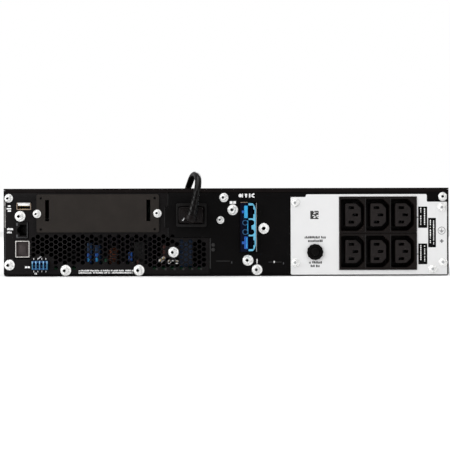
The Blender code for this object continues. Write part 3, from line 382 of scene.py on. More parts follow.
def sheet_mesh(outlines, y, edge):
    """A flat sheet with rounded edges: the first outline is its edge and the others are holes."""
    curve = new_curve("sheet", "2D", edge, 1)
    curve.fill_mode = "BOTH"
    curve.extrude = ((y[1] - y[0]) / 2 - edge) * MM
    curve.offset = -edge * MM
    for outline in outlines:
        add_spline(curve, [(x * MM, z * MM, 0.0) for x, z in outline], True)
    mesh = final_mesh(linked("sheet", curve))
    mesh.transform(Matrix.Translation((0, sum(y) * MM / 2, 0)) @ Matrix.Rotation(math.pi / 2, 4, "X"))
    bpy.data.curves.remove(curve)
    return mesh


class Shape:
    """Solids gathered into one piece, each with one of the piece's materials."""

    def __init__(self):
        self.bm = bmesh.new()
        self.materials = []

    def _number(self, material):
        """A material's number in the piece."""
        if material not in self.materials:
            self.materials.append(material)
        return self.materials.index(material)

    def _merge(self, made):
        """Copy a solid in, whose faces have their materials."""
        held = bpy.data.meshes.new("held")
        made.to_mesh(held)
        made.free()
        self.bm.from_mesh(held)
        bpy.data.meshes.remove(held)

    def take(self, made, material, bevel=0.0):
        """Copy a solid in with its material, its sharp edges bevelled."""
        if bevel:
            sharp = [e for e in made.edges if e.is_manifold and e.calc_face_angle(0.0) > math.radians(30)]
            bmesh.ops.bevel(
                made, geom=sharp, offset=bevel * MM, segments=2, affect="EDGES", profile=0.5, clamp_overlap=True
            )
        number = self._number(material)
        bmesh.ops.recalc_face_normals(made, faces=made.faces)
        for face in made.faces:
            face.material_index = number
            face.smooth = True
        self._merge(made)

    def box(self, x, z, y, material, bevel=0.15):
        """A cuboid from its ranges, with rounded edges."""
        made = bmesh.new()
        bmesh.ops.create_cube(made, size=1.0)
        size = Vector((x[1] - x[0], y[1] - y[0], z[1] - z[0])) * MM
        bmesh.ops.scale(made, vec=size, verts=made.verts)
        centre = Vector((x[0] + x[1], y[0] + y[1], z[0] + z[1])) * MM / 2
        bmesh.ops.translate(made, vec=centre, verts=made.verts)
        self.take(made, material, min(bevel, min(size) / MM * 0.4))

    def boxes(self, origin, *rows):
        """Cuboids about a point: rows of material, edge radius, x range, z range and y range."""
        x, y, z = origin
        for material, bevel, x0, x1, z0, z1, y0, y1 in rows:
            self.box((x + x0, x + x1), (z + z0, z + z1), (y + y0, y + y1), material, bevel)

    def rod(self, start, end, radius, material, end_radius=None, sides=24, bevel=0.0):
        """A cylinder or cone between two points."""
        start, end = Vector(start) * MM, Vector(end) * MM
        turn = (end - start).to_track_quat("Z", "Y").to_matrix().to_4x4()
        made = bmesh.new()
        bmesh.ops.create_cone(
            made,
            cap_ends=True,
            segments=sides,
            radius1=radius * MM,
            radius2=(end_radius or radius) * MM,
            depth=(end - start).length,
            matrix=Matrix.Translation((start + end) / 2) @ turn,
        )
        self.take(made, material, bevel)

    def prism(self, outline, y, material, bevel=0.0):
        """A flat outline in the rear view, given depth."""
        made = bmesh.new()
        face = made.faces.new([made.verts.new((x * MM, y[0] * MM, z * MM)) for x, z in outline])
        grown = bmesh.ops.extrude_face_region(made, geom=[face])
        moved = [v for v in grown["geom"] if isinstance(v, bmesh.types.BMVert)]
        bmesh.ops.translate(made, vec=(0, (y[1] - y[0]) * MM, 0), verts=moved)
        self.take(made, material, bevel)

    def sheet(self, outlines, y, material, edge=0.15):
        """A flat sheet with holes, in the rear view."""
        mesh = sheet_mesh(outlines, y, edge)
        made = bmesh.new()
        made.from_mesh(mesh)
        bpy.data.meshes.remove(mesh)
        bmesh.ops.remove_doubles(made, verts=made.verts, dist=0.002 * MM)
        self.take(made, material)

    def screw(self, at, turn, scale, form=None):
        """A copy of a screw, turned by a matrix and scaled."""
        mesh = form or SCREW_FORM
        made = bmesh.new()
        made.from_mesh(mesh)
        size = Matrix.Diagonal((scale[0], scale[0], scale[1], 1.0))
        place = Matrix.Translation(Vector(at) * MM) @ turn @ size
        bmesh.ops.transform(made, matrix=place, verts=made.verts)
        numbers = [self._number(material) for material in mesh.materials]
        for face in made.faces:
            face.material_index = numbers[face.material_index]
        self._merge(made)

    def turned(self, profile, at, toward, material, sides=32):
        """A turned solid: (radius, height) pairs from its far end to its near end, along a direction."""
        made = bmesh.new()
        rings = []
        for radius, height in profile:
            around = circle((0, 0), radius, sides) if radius > 0 else [(0, 0)]
            rings.append([made.verts.new((x * MM, y * MM, height * MM)) for x, y in around])
        for near, far in zip(rings, rings[1:]):
            for i in range(sides):
                corners = ((near, i), (near, i + 1), (far, i + 1), (far, i))
                unique = list(dict.fromkeys(ring[at % len(ring)] for ring, at in corners))
                if len(unique) > 2:
                    made.faces.new(unique)
        for ring in (rings[0], rings[-1]):
            if len(ring) > 1:
                made.faces.new(ring)
        turn = Vector(toward).to_track_quat("Z", "Y").to_matrix().to_4x4()
        bmesh.ops.transform(made, matrix=Matrix.Translation(Vector(at) * MM) @ turn, verts=made.verts)
        self.take(made, material)

    def mesh(self, name="form"):
        """The gathered solids as a mesh."""
        mesh = bpy.data.meshes.new(name)
        self.bm.to_mesh(mesh)
        self.bm.free()
        for material in self.materials:
            mesh.materials.append(material)
        return mesh

    def piece(self, name, body, replaces=(), angle=32.0):
        """The gathered solids as one piece, smooth but for its sharp edges."""
        mesh = self.mesh(name)
        mesh.shade_smooth()
        mesh.set_sharp_from_angle(angle=math.radians(angle))
        return add_piece(linked(name, mesh), body, replaces)


def keep(node, material, edge=0.0, segments=2):
    """Give a CAD node its final material, and rounded edges."""
    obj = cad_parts[node]
    obj.data.materials.clear()
    obj.data.materials.append(material)
    if edge:
        rounding = obj.modifiers.new("Rounded edges", "BEVEL")
        rounding.width = edge * MM
        rounding.segments = segments
        rounding.limit_method = "ANGLE"
        rounding.angle_limit = math.radians(35)


def tube(name, points, radius, material, body, replaces=(), resolution=4):
    """A round wire along points, which are close together."""
    curve = new_curve(name, "3D", radius, resolution)
    add_spline(curve, [Vector(place) * MM for place in points])
    curve.use_fill_caps = True
    curve.materials.append(material)
    return add_piece(linked(name, curve), body, replaces)


def through(points, steps=8):
    """Points along a smooth curve through a route's points."""
    points = [Vector(p) for p in points]
    padded = [points[0] * 2 - points[1], *points, points[-1] * 2 - points[-2]]
    line = []
    for a, b, c, d in zip(padded, padded[1:], padded[2:], padded[3:]):
        for step in range(steps):
            t = step / steps
            start, square, cube = 2 * b + (c - a) * t, 2 * a - 5 * b + 4 * c - d, 3 * b - a - 3 * c + d
            line.append((start + square * t**2 + cube * t**3) * 0.5)
    line.append(points[-1])
    return line


# ---------------------------------------------------------------- camera, light and floor

CAMERA_X = -1.1
CAMERA_Z = 49.3
CAMERA_DISTANCE = 850.0
VIEW_WIDTH = 436.9
CAMERA_ROLL = 0.155
SURROUND = 0.32


def make_camera():
    """A level view square on to the connector side, as far off as a product shot."""
    data = bpy.data.cameras.new("camera")
    data.sensor_width = 36.0
    data.lens = 36.0 * CAMERA_DISTANCE / VIEW_WIDTH
    data.clip_start = 0.01
    camera = linked("camera", data)
    camera.location = (CAMERA_X * MM, (REAR - CAMERA_DISTANCE) * MM, CAMERA_Z * MM)
    camera.rotation_euler = (math.pi / 2, math.radians(CAMERA_ROLL), 0.0)
    bpy.context.scene.camera = camera


def area_light(name, at, aim, size, power):
    """A large soft lamp."""
    data = bpy.data.lights.new(name, "AREA")
    data.shape = "RECTANGLE"
    data.size, data.size_y = size
    data.energy = power
    lamp = linked(name, data)
    lamp.location = at
    lamp.rotation_euler = (Vector(aim) - Vector(at)).to_track_quat("-Z", "Y").to_euler()


def make_studio():
    """A pale floor before a white background, dim surroundings and large soft lamps off to the sides."""
    world = bpy.data.worlds.new("surround")
    bpy.context.scene.world = world
    world.use_nodes = True
    tree = world.node_tree
    background = tree.nodes["Background"]
    put(background, Strength=1.0)
    path = tree.nodes.new("ShaderNodeLightPath")
    mix = tree.nodes.new("ShaderNodeMix")
    mix.data_type = "RGBA"
    put(mix, A=(SURROUND, SURROUND, SURROUND, 1.0), B=(1.0, 1.0, 1.0, 1.0))
    tree.links.new(path.outputs["Is Camera Ray"], mix.inputs["Factor"])
    tree.links.new(mix.outputs["Result"], background.inputs["Color"])
    bpy.context.scene.view_settings.view_transform = "Standard"
    bm = bmesh.new()
    bmesh.ops.create_grid(bm, x_segments=1, y_segments=1, size=6.0)
    mesh = bpy.data.meshes.new("floor")
    bm.to_mesh(mesh)
    bm.free()
    floor = linked("floor", mesh)
    floor.location = (0.0, 0.0, -0.0004)
    pale, tree, shader = nodes_of("floor_paint")
    tint(tree, noise(tree, 2.0), (1.0, 1.0, 1.0), ((0.3, 0.88), (0.7, 0.92)), shader)
    put(shader, Roughness=0.8)
    mesh.materials.append(pale)
    aim = (0.0, REAR * MM, 0.04)
    area_light("key", (-1.5, -1.15, 0.75), aim, (1.3, 1.0), 22.0)
    area_light("fill", (1.6, -1.1, 0.8), aim, (1.0, 1.0), 4.5)
    area_light("back", (0.3, 1.9, 1.3), (0.0, 0.28, 0.04), (1.6, 1.0), 22.0)
    sky = bpy.data.lights.new("overhead", "SUN")
    sky.energy = 2.2
    sky.angle = math.radians(70)
    linked("overhead", sky).rotation_euler = (math.radians(12), math.radians(-8), 0.0)


make_camera()
make_studio()


# ---------------------------------------------------------------- mains lead

PLUG_FACE = -303.5
CORD_R = 3.2
CORD_START = (-28.4, -302.5, 76.0)
RELIEF_ROOT = (-33.4, -307.0, 54.3)
CORD_LIE = HEIGHT + GAP + CORD_R
CORD_ROUTE = [
    CORD_START,
    (-27.3, -300.5, 82.0),
    (-26.7, -297.2, 87.5),
    (-26.7, -292.7, 92.1),
    (-27.4, -287.4, 95.6),
    (-28.6, -281.5, 97.8),
    (-30.3, -275.3, 98.5),
    (-31.9, -270.2, 98.0),
    (-33.5, -265.3, 96.4),
    (-34.9, -260.8, 93.7),
    (-36.2, -255.9, 90.8),
    (-37.2, -250.5, 89.1),
    (-37.7, -244.8, CORD_LIE),
    (-39.7, -212.0, CORD_LIE),
    (-41.8, -172.0, CORD_LIE),
    (-43.4, -130.0, CORD_LIE),
    (-44.5, -80.0, CORD_LIE),
    (-44.9, -30.0, CORD_LIE),
    (-44.9, 30.0, CORD_LIE),
    (-44.6, 85.0, CORD_LIE),
]
COIL_CENTRE = Vector((-89.75, 130.0))
COIL_OUTER_R = 45.25
COIL_PITCH = 6.5
COIL_TURNS = 6
COIL_STEPS = 40
LAYER_RISE = 2 * CORD_R
END_RELIEF_Y = COIL_CENTRE.y + 26.5


def coil_point(turn):
    """A point of the coil after some turns: three turns inwards, then three outwards on top of them."""
    half = COIL_TURNS / 2
    inwards = half - abs(turn - half)
    radius = COIL_OUTER_R - COIL_PITCH * inwards
    climb = min(1.0, max(0.0, turn - half + 0.5))
    rise = LAYER_RISE * climb * climb * (3 - 2 * climb)
    angle = 2 * math.pi * turn
    flat = COIL_CENTRE + Vector((math.cos(angle), math.sin(angle))) * radius
    return Vector((flat.x, flat.y, CORD_LIE + rise))


def cord_line():
    """The lead's centreline from the plug's relief to the far plug's relief."""
    line = through([*CORD_ROUTE, coil_point(0.0)], 10)
    for step in range(1, COIL_TURNS * COIL_STEPS + 1):
        line.append(coil_point(step / COIL_STEPS))
    last = line[-1]
    end_z = sum(span("cord_end_plug")[2]) / 2
    ends = ((last.y + 9, last.z), (last.y + 18, end_z), (END_RELIEF_Y, end_z))
    return line + [Vector((last.x, y, z)) for y, z in ends]


def relief(shape, start, end, wide, narrow, rings, groove, material):
    """A tapered strain relief with shallow grooves moulded round it."""
    start, end = Vector(start), Vector(end)
    length = (end - start).length
    profile = [(0.0, 0.0), (wide * 0.9, 0.0), (wide, 0.6)]
    for ring in range(rings):
        t0, t1 = (ring + 0.35) / rings, (ring + 0.62) / rings
        for t, drop in ((t0, 0.0), (t0 + 0.03, groove), (t1, groove), (t1 + 0.03, 0.0)):
            profile.append((wide + (narrow - wide) * t - drop, length * t))
    profile += [(narrow, length - 0.4), (narrow - 0.4, length), (0.0, length)]
    shape.turned(profile, start, end - start, material, 32)


def make_cord():
    """The lead with its moulded plug, its far plug and the tie round the coil."""
    plug = Shape()
    x, z = middle("power_inlet")
    face = PLUG_FACE
    plug.boxes((x, REAR, z), (PLUG_BLACK, 0.8, -11.7, 11.7, -7.8, 7.8, -4, 13))
    plug.prism(soft_rectangle((x, z), (22.6, 14.8), 2.4, 5), (face + 1.5, REAR - 2.6), PLUG_BLACK, 0.9)
    plug.prism(soft_rectangle((x, z), (17.5, 10.6), 2.4, 5), (face, face + 3), PLUG_BLACK, 0.8)
    for rib in range(3):
        for left in (-11.7, 11.0):
            plug.boxes((x, face + 5.5 + rib * 3.2, z), (PLUG_BLACK, 0.3, left, left + 0.7, -4.6, 4.6, 0, 1.4))
    root, start = Vector(RELIEF_ROOT), Vector(CORD_START)
    foot = [(0, -3.0), (3.6, -2.6), (5.4, -1.0), (5.9, 1.5), (5.6, 3.0), (0, 3.1)]
    plug.turned(foot, root, start - root, PLUG_BLACK)
    plug.rod((x, face + 2.0, z - 2.0), (root.x, root.y, root.z + 1.5), 6.2, PLUG_BLACK, 5.2, 32, 0.6)
    relief(plug, root, start, 5.2, CORD_R + 0.3, 4, 0.12, CORD_BLACK)
    # A small light grey patch on the head's lower left corner: a painted highlight.
    glint_patch = [(x - 8.3, z - 5.5), (x - 6.8, z - 5.5), (x - 5.1, z - 3.1), (x - 6.0, z - 2.7)]
    plug.prism(glint_patch, (face - 0.3, face + 3), ALUMINIUM, 0.3)
    moulding = plug.piece("mains_plug", CHASSIS, ("power_plug",))

    far = Shape()
    (x0, x1), (y0, y1), (z0, z1) = span("cord_end_plug")
    x, z = (x0 + x1) / 2, (z0 + z1) / 2
    body = (END_RELIEF_Y + 24.0, END_RELIEF_Y + 56.0)
    far.box((x0 + 0.2, x1 - 0.2), (z0, z1), body, PLUG_BLACK, 2.2)
    far.box((x0 + 2.4, x1 - 2.4), (z0 + 2.2, z1 - 2.2), (body[1] - 2, body[1] + 0.8), SOCKET_BLACK, 0.5)
    for rib in range(4):
        far.boxes((x, body[0] + 7.0 + rib * 4.4, z1), (PLUG_BLACK, 0.4, -9.5, 9.5, -1.2, 0.25, 0, 1.6))
    for dx, dz in ((-7.0, -2.0), (7.0, -2.0), (0.0, 2.0)):
        far.boxes((x + dx, body[1], z + dz), (SHELL_METAL, 0.35, -1, 1, -2, 2, 0, y1 - body[1]))
    relief(far, (x, body[0] + 2, z), (x, END_RELIEF_Y, z), 6.0, CORD_R + 0.35, 5, 0.35, PLUG_BLACK)
    end_plug = far.piece("lead_end_plug", CHASSIS, ("cord_end_plug",))

    tie = Shape()
    inner, outer = COIL_OUTER_R - 3 * COIL_PITCH - CORD_R - 0.9, COIL_OUTER_R + CORD_R + 0.2
    low, high = HEIGHT + 0.1, CORD_LIE + LAYER_RISE + CORD_R + 0.5
    tall, wide = high - low, outer - inner
    tie.boxes(
        (COIL_CENTRE.x, COIL_CENTRE.y - outer, low),
        (FOAM_GREY, 0.3, -6, 6, tall - 0.5, tall + 0.4, -0.4, wide + 0.4),
        (FOAM_GREY, 0.3, -6, 6, 0, tall, -0.9, 0),
        (FOAM_GREY, 0.3, -6, 6, 0, tall, wide, wide + 0.9),
        (CASE_BLACK, 0.3, -6.8, 6.8, tall + 0.2, tall + 1.1, 2, 9),
    )
    strap = tie.piece("coil_tie", CHASSIS)

    lead = tube(
        "mains_lead", cord_line(), CORD_R, CORD_BLACK, CHASSIS, ("power_cord", "cord_coil"), 5
    )


# ---------------------------------------------------------------- screws

PAN_WASHER_R = 5.1
SCREW_SHIFT = -0.95


def screw_form(recess):
    """A pan-head screw on its washer, its head towards +Z and its seat at zero, with a cross recess in a colour
    of painted shade and a grey disc right of the head as a painted shadow.
    """
    form = Shape()
    washer = [(0, 0.0), (5.1, 0.0), (5.1, 0.4), (4.85, 0.6), (2.2, 0.6), (0, 0.6)]
    floor = [(0, 0.5), (2.7, 0.5), (2.7, 1.0), (0, 1.0)]
    shadow = [(0, 0.5), (4.1, 0.5), (4.1, 0.74), (0, 0.74)]
    dome = [(0, 0.85), (3.7, 0.85), (3.85, 0.95), (3.75, 1.2), (3.1, 1.85), (2.5, 2.2), (1.4, 2.38), (0, 2.4)]
    shift = SCREW_SHIFT
    # The recess takes the given colour as painted shade, and the grey disc under the head, shifted right, shows
    # as a crescent of painted shadow.
    for profile, x, material in (
        (washer, 0, ZINC), (floor, shift, recess), (shadow, shift + 0.75, BATTERY_GREY), (dome, shift, ZINC)
    ):
        form.turned(profile, (x, 0, 0), (0, 0, 1), material)
    arms = []
    for size in ((2.9, 1.15), (1.15, 2.9), (2.0, 2.0)):
        arm = bmesh.new()
        bmesh.ops.create_cube(arm, size=1.0)
        bmesh.ops.scale(arm, vec=(size[0] * MM, size[1] * MM, 3.2 * MM), verts=arm.verts)
        for vert in arm.verts:
            if vert.co.z < 0:
                vert.co.x *= 0.55
                vert.co.y *= 0.55
        bmesh.ops.translate(arm, vec=(SCREW_SHIFT * MM, 0, 2.5 * MM), verts=arm.verts)
        made = bpy.data.meshes.new("arm")
        arm.to_mesh(made)
        arm.free()
        made.materials.append(recess)
        arms.append(made)
    return carve(form.mesh(), arms)


# Near-black recesses stand for painted shade; the outlet panel's pale screws get lighter grey recesses.
SCREW_FORM = screw_form(HOLE_BLACK)
PALE_SCREW_FORM = screw_form(GALVANISED)


def screw(name, x, z, radius, seat, body=CHASSIS, node=None, turn=0.0, shank=0.0, form=None):
    """A screw in the rear face, its cross turned by some degrees."""
    made = Shape()
    tilt = rotation(90, "X") @ rotation(turn, "Z")
    made.screw((x, seat, z), tilt, (radius / PAN_WASHER_R, 1.0), form)
    if shank:
        made.rod((x, seat + 0.1, z), (x, seat + shank, z), 1.5, ZINC, sides=16)
    return made.piece(name, body, (node,) if node else ())


def make_screws():
    """Every screw in the rear face: those of the frame, and the ones in the outlet panel."""
    for number in range(1, 10):
        node = f"panel_screw_{number}"
        x, z = middle(node)
        radius = (span(node)[0][1] - span(node)[0][0]) / 2
        screw(f"pan_screw_{number}", x, z, radius, REAR - 0.05, node=node, turn=number * 37 % 40 - 20)
    x, z = middle("ground_screw")
    screw("earth_screw", x, z, 5.1, REAR - 0.05, node="ground_screw", turn=12)
    seat = span("card_slot_cover")[1][0] - 0.05
    for side, turn in (("left", 14), ("right", -14)):
        node = "card_screw_" + side
        x, z = middle(node)
        screw("card_thumbscrew_" + side, x, z, 4.0, seat, "card_cover", node, turn, 5.0)
    screw("connector_screw", 6.5, 64.0, 5.1, REAR - 0.05, turn=10)
    screw("connector_stud", -5.5, 54.1, 3.7, REAR - 0.05, turn=-12)
    face = span("outlet_panel")[1][0] - 0.05
    places = ((67.2, 70.5, 10), (67.2, 12.4, -22), (209.1, 66.2, 31), (210.2, 12.8, 5), (200.2, 6.0, -12))
    for number, (x, z, turn) in enumerate(places, 1):
        screw(f"outlet_panel_screw_{number}", x, z, 4.2, face, turn=turn, form=PALE_SCREW_FORM)
    ring = Shape()
    profile = [(1.9, -2.0), (1.9, 0.8), (2.4, 1.1), (4.9, 1.1), (5.2, 0.8), (5.2, 0.0), (2.6, 0.0), (2.6, -2.0)]
    ring.turned([*profile, profile[0]], (36.5, REAR - 0.05, 45.8), (0, -1, 0), ZINC, 40)
    ring.piece("grommet_ring", CHASSIS)


# ---------------------------------------------------------------- rear plates

SIDE_EDGE = span("comms_panel")[0][0]
PANEL_LOW = span("comms_panel")[2][0]
PANEL_TOP = span("comms_panel")[2][1]
SEAM_X = -56.0
SEAM_STEP = 3.2
SEAM_LOW = 47.0
SEAM_HIGH = 67.5
VENT_END_X = span("comms_panel")[0][1]
VENT_TOP_RIGHT = 37.0
VENT_PITCH = 5.03
VENT_HOLE_R = 2.28
SLOT = ((-178.0, -71.0), (46.0, 76.5))
INK_LIFT = 0.06


def node_window(node):
    """The outline of a clearance hole round a node."""
    x, _, z = span(node)
    return rectangle(middle(node), (x[1] - x[0] + 2 * GAP, z[1] - z[0] + 2 * GAP))


def vent_holes():
    """A honeycomb of small hexagons that leaves room for screws, terminals and the lower edge."""
    kept_clear = [(*middle(f"panel_screw_{n}"), 7.6) for n in (3, 4, 5)] + [(-209.0, 60.0, 3.0)]
    terminal_x, terminal_z = middle("epo_socket")
    across = VENT_PITCH * math.cos(math.pi / 6)
    holes = []
    for column in range(40):
        x = -187.2 + column * across
        for row in range(8):
            z = 5.7 + row * VENT_PITCH + (column % 2) * VENT_PITCH / 2
            right = x > -48
            top = 34.5 if right else 39.2
            low = 11.0 if -146 < x < -88 else 8.0
            by_terminals = x < terminal_x + 13 and z < terminal_z + 9.5
            by_screw = any(math.hypot(x - a, z - b) < r for a, b, r in kept_clear)
            if low < z < top and x < VENT_END_X - 3 and not by_terminals and not by_screw:
                holes.append(circle((x, z), VENT_HOLE_R, 6))
    return holes


def seam(gap):
    """The stepped edge between the two plates, from below, moved over by the gap between them."""
    x, step = SEAM_X + gap, SEAM_X + gap - SEAM_STEP
    low = VENT_TOP_RIGHT + gap
    line = [(VENT_END_X + gap, PANEL_LOW), (VENT_END_X + gap, low), (x, low), (x, SEAM_LOW + gap)]
    return line + [(step, SEAM_LOW + gap), (step, SEAM_HIGH - gap), (x, SEAM_HIGH - gap), (x, PANEL_TOP)]


def make_plates():
    """The two rear plates with their true cut-outs, and strips, dimples, slits, a ridge and bumps coloured
    lighter as painted highlights, and a zinc patch as a painted glint.
    """
    y = (REAR, REAR + PANEL)
    outline = [(SIDE_EDGE, PANEL_LOW), *seam(0.0), (SIDE_EDGE, PANEL_TOP)]
    ports = [node_window(n) for n in ("usb_port", "network_port", "serial_port", "epo_socket")]
    (x0, x1), (z0, z1) = SLOT
    slot = soft_rectangle(((x0 + x1) / 2, (z0 + z1) / 2), (x1 - x0, z1 - z0), 1.0)
    threads = [circle(middle("card_screw_" + side), 1.9, 12) for side in ("left", "right")]
    comms = Shape()
    comms.sheet([outline, slot, *ports, *threads, *vent_holes()], y, PANEL_PAINT, 0.16)
    x, step = SEAM_X, SEAM_X - SEAM_STEP
    # Painted highlights: a grey strip and a lighter metal strip down the left edge, and lighter strips along
    # the seam's edges.
    comms.boxes(
        (0, REAR, 0),
        (BATTERY_GREY, 0.05, SIDE_EDGE - 0.55, SIDE_EDGE - 0.2, 12.0, 80.0, -0.15, 0.2),
        (SHELL_METAL, 0.05, SIDE_EDGE - 0.6, SIDE_EDGE - 0.15, 47.0, 73.0, -0.2, 0.2),
        (EDGE_HIGHLIGHT, 0.05, x - 0.5, x - 0.15, SEAM_HIGH + 0.6, PANEL_TOP - 1, -0.1, 0.2),
        (EDGE_HIGHLIGHT, 0.05, x - 0.5, x - 0.15, VENT_TOP_RIGHT + 0.6, SEAM_LOW - 0.3, -0.1, 0.2),
        (EDGE_HIGHLIGHT, 0.05, step - 0.5, step - 0.15, SEAM_LOW + 0.3, SEAM_HIGH - 0.3, -0.1, 0.2),
    )
    # The dimples are coloured lighter as painted highlights.
    for number in range(6):
        dimple = (-67.3 + number * 8.6, REAR + 0.1, 6.6)
        comms.turned([(0, 0), (1.2, 0), (1.0, 0.35), (0.5, 0.5), (0, 0.5)], dimple, (0, -1, 0), EDGE_HIGHLIGHT, 16)
    comms.piece("ports_plate", CHASSIS, ("comms_panel",), 25.0)

    side = seam(GAP)
    outline = [side[0], (-SIDE_EDGE, PANEL_LOW), (-SIDE_EDGE, PANEL_TOP), *reversed(side[1:])]
    power = Shape()
    window = rectangle((132.5, 40.75), (115.0, 72.5))
    inlet = rectangle(middle("power_inlet"), (27.0, 20.2))
    ring_hole = circle((36.5, 45.8), 3.0, 16)
    power.sheet([outline, inlet, node_window("battery_connector"), window, ring_hole], y, BLACK_PAINT, 0.16)
    # Painted highlights: each lanced slit is a lighter bar with a lighter grey tab at its end.
    for x, z, half in ((-3.0, 14.3, 6.8), (47.5, 13.2, 6.5)):
        power.boxes(
            (x, REAR, z),
            (EDGE_HIGHLIGHT, 0.15, -half, half, -0.35, 0.35, -0.35, 0.2),
            (BATTERY_GREY, 0.2, half + 1.2, half + 2.0, -2.4, -0.3, -0.5, 0.2),
        )
    # A small zinc patch on the second slit is a painted glint, and the ridge is coloured lighter as a painted
    # highlight.
    power.boxes(
        (0, REAR, 0),
        (ZINC, 0.3, 46.0, 47.2, 12.4, 14.4, -0.6, 0.1),
        (EDGE_HIGHLIGHT, 0.2, -16.0, -14.9, 7.0, 36.5, -0.4, 0.1),
    )
    # The two hex bumps on the ridge are coloured lighter as painted highlights.
    for z in (30.0, 25.4):
        power.prism(circle((-12.6, z), 2.0, 6), (REAR - 1.0, REAR + 0.1), EDGE_HIGHLIGHT, 0.4)
    power.piece("power_plate", CHASSIS, ("power_panel",), 25.0)


def scatter(seed, count):
    """A repeatable run of values between 0 and 1."""
    value = seed
    for _ in range(count):
        value = (value * 16807) % 2147483647
        yield value / 2147483647


def small_print(shape, x, z, height, face, material, seed):
    """A line of meaningless ticks, as small print looks from afar."""
    place = x[0]
    for chance in scatter(seed, 400):
        if place > x[1]:
            return
        if chance < 0.12:
            place += height * 0.45
            continue
        width = height * (0.22 + 0.3 * chance)
        tall = height * (0.7 + 0.3 * chance)
        low = z - height / 2 + (height - tall) * (chance > 0.6)
        shape.box((place, place + width), (low, low + tall), ink_depth(face), material, 0.0)
        place += width + height * 0.16


def ink_depth(face):
    """How far print stands in front of a face and sinks into it."""
    return (face - INK_LIFT, face + 0.01)


def strokes(shape, face, material, *lines):
    """Straight printed lines, each (x0, z0, x1, z1, width)."""
    for x0, z0, x1, z1, width in lines:
        a, b = Vector((x0, z0)), Vector((x1, z1))
        side = Vector((a.y - b.y, b.x - a.x)).normalized() * width / 2
        corners = [tuple(a + side), tuple(b + side), tuple(b - side), tuple(a - side)]
        shape.prism(corners, ink_depth(face), material)


def earth_lines(centre, size, radius):
    """The usual earth symbol in its ring, as printed lines."""
    x, z = centre
    lines = [(x, z + size, x, z, 0.5)]
    for step, half in enumerate((1.0, 0.62, 0.28)):
        level = z - step * size * 0.32
        lines.append((x - half * size, level, x + half * size, level, 0.5))
    ring = circle((x, z + 0.1), radius)
    return lines + [(*a, *b, 0.5) for a, b in zip(ring, ring[1:] + ring[:1])]


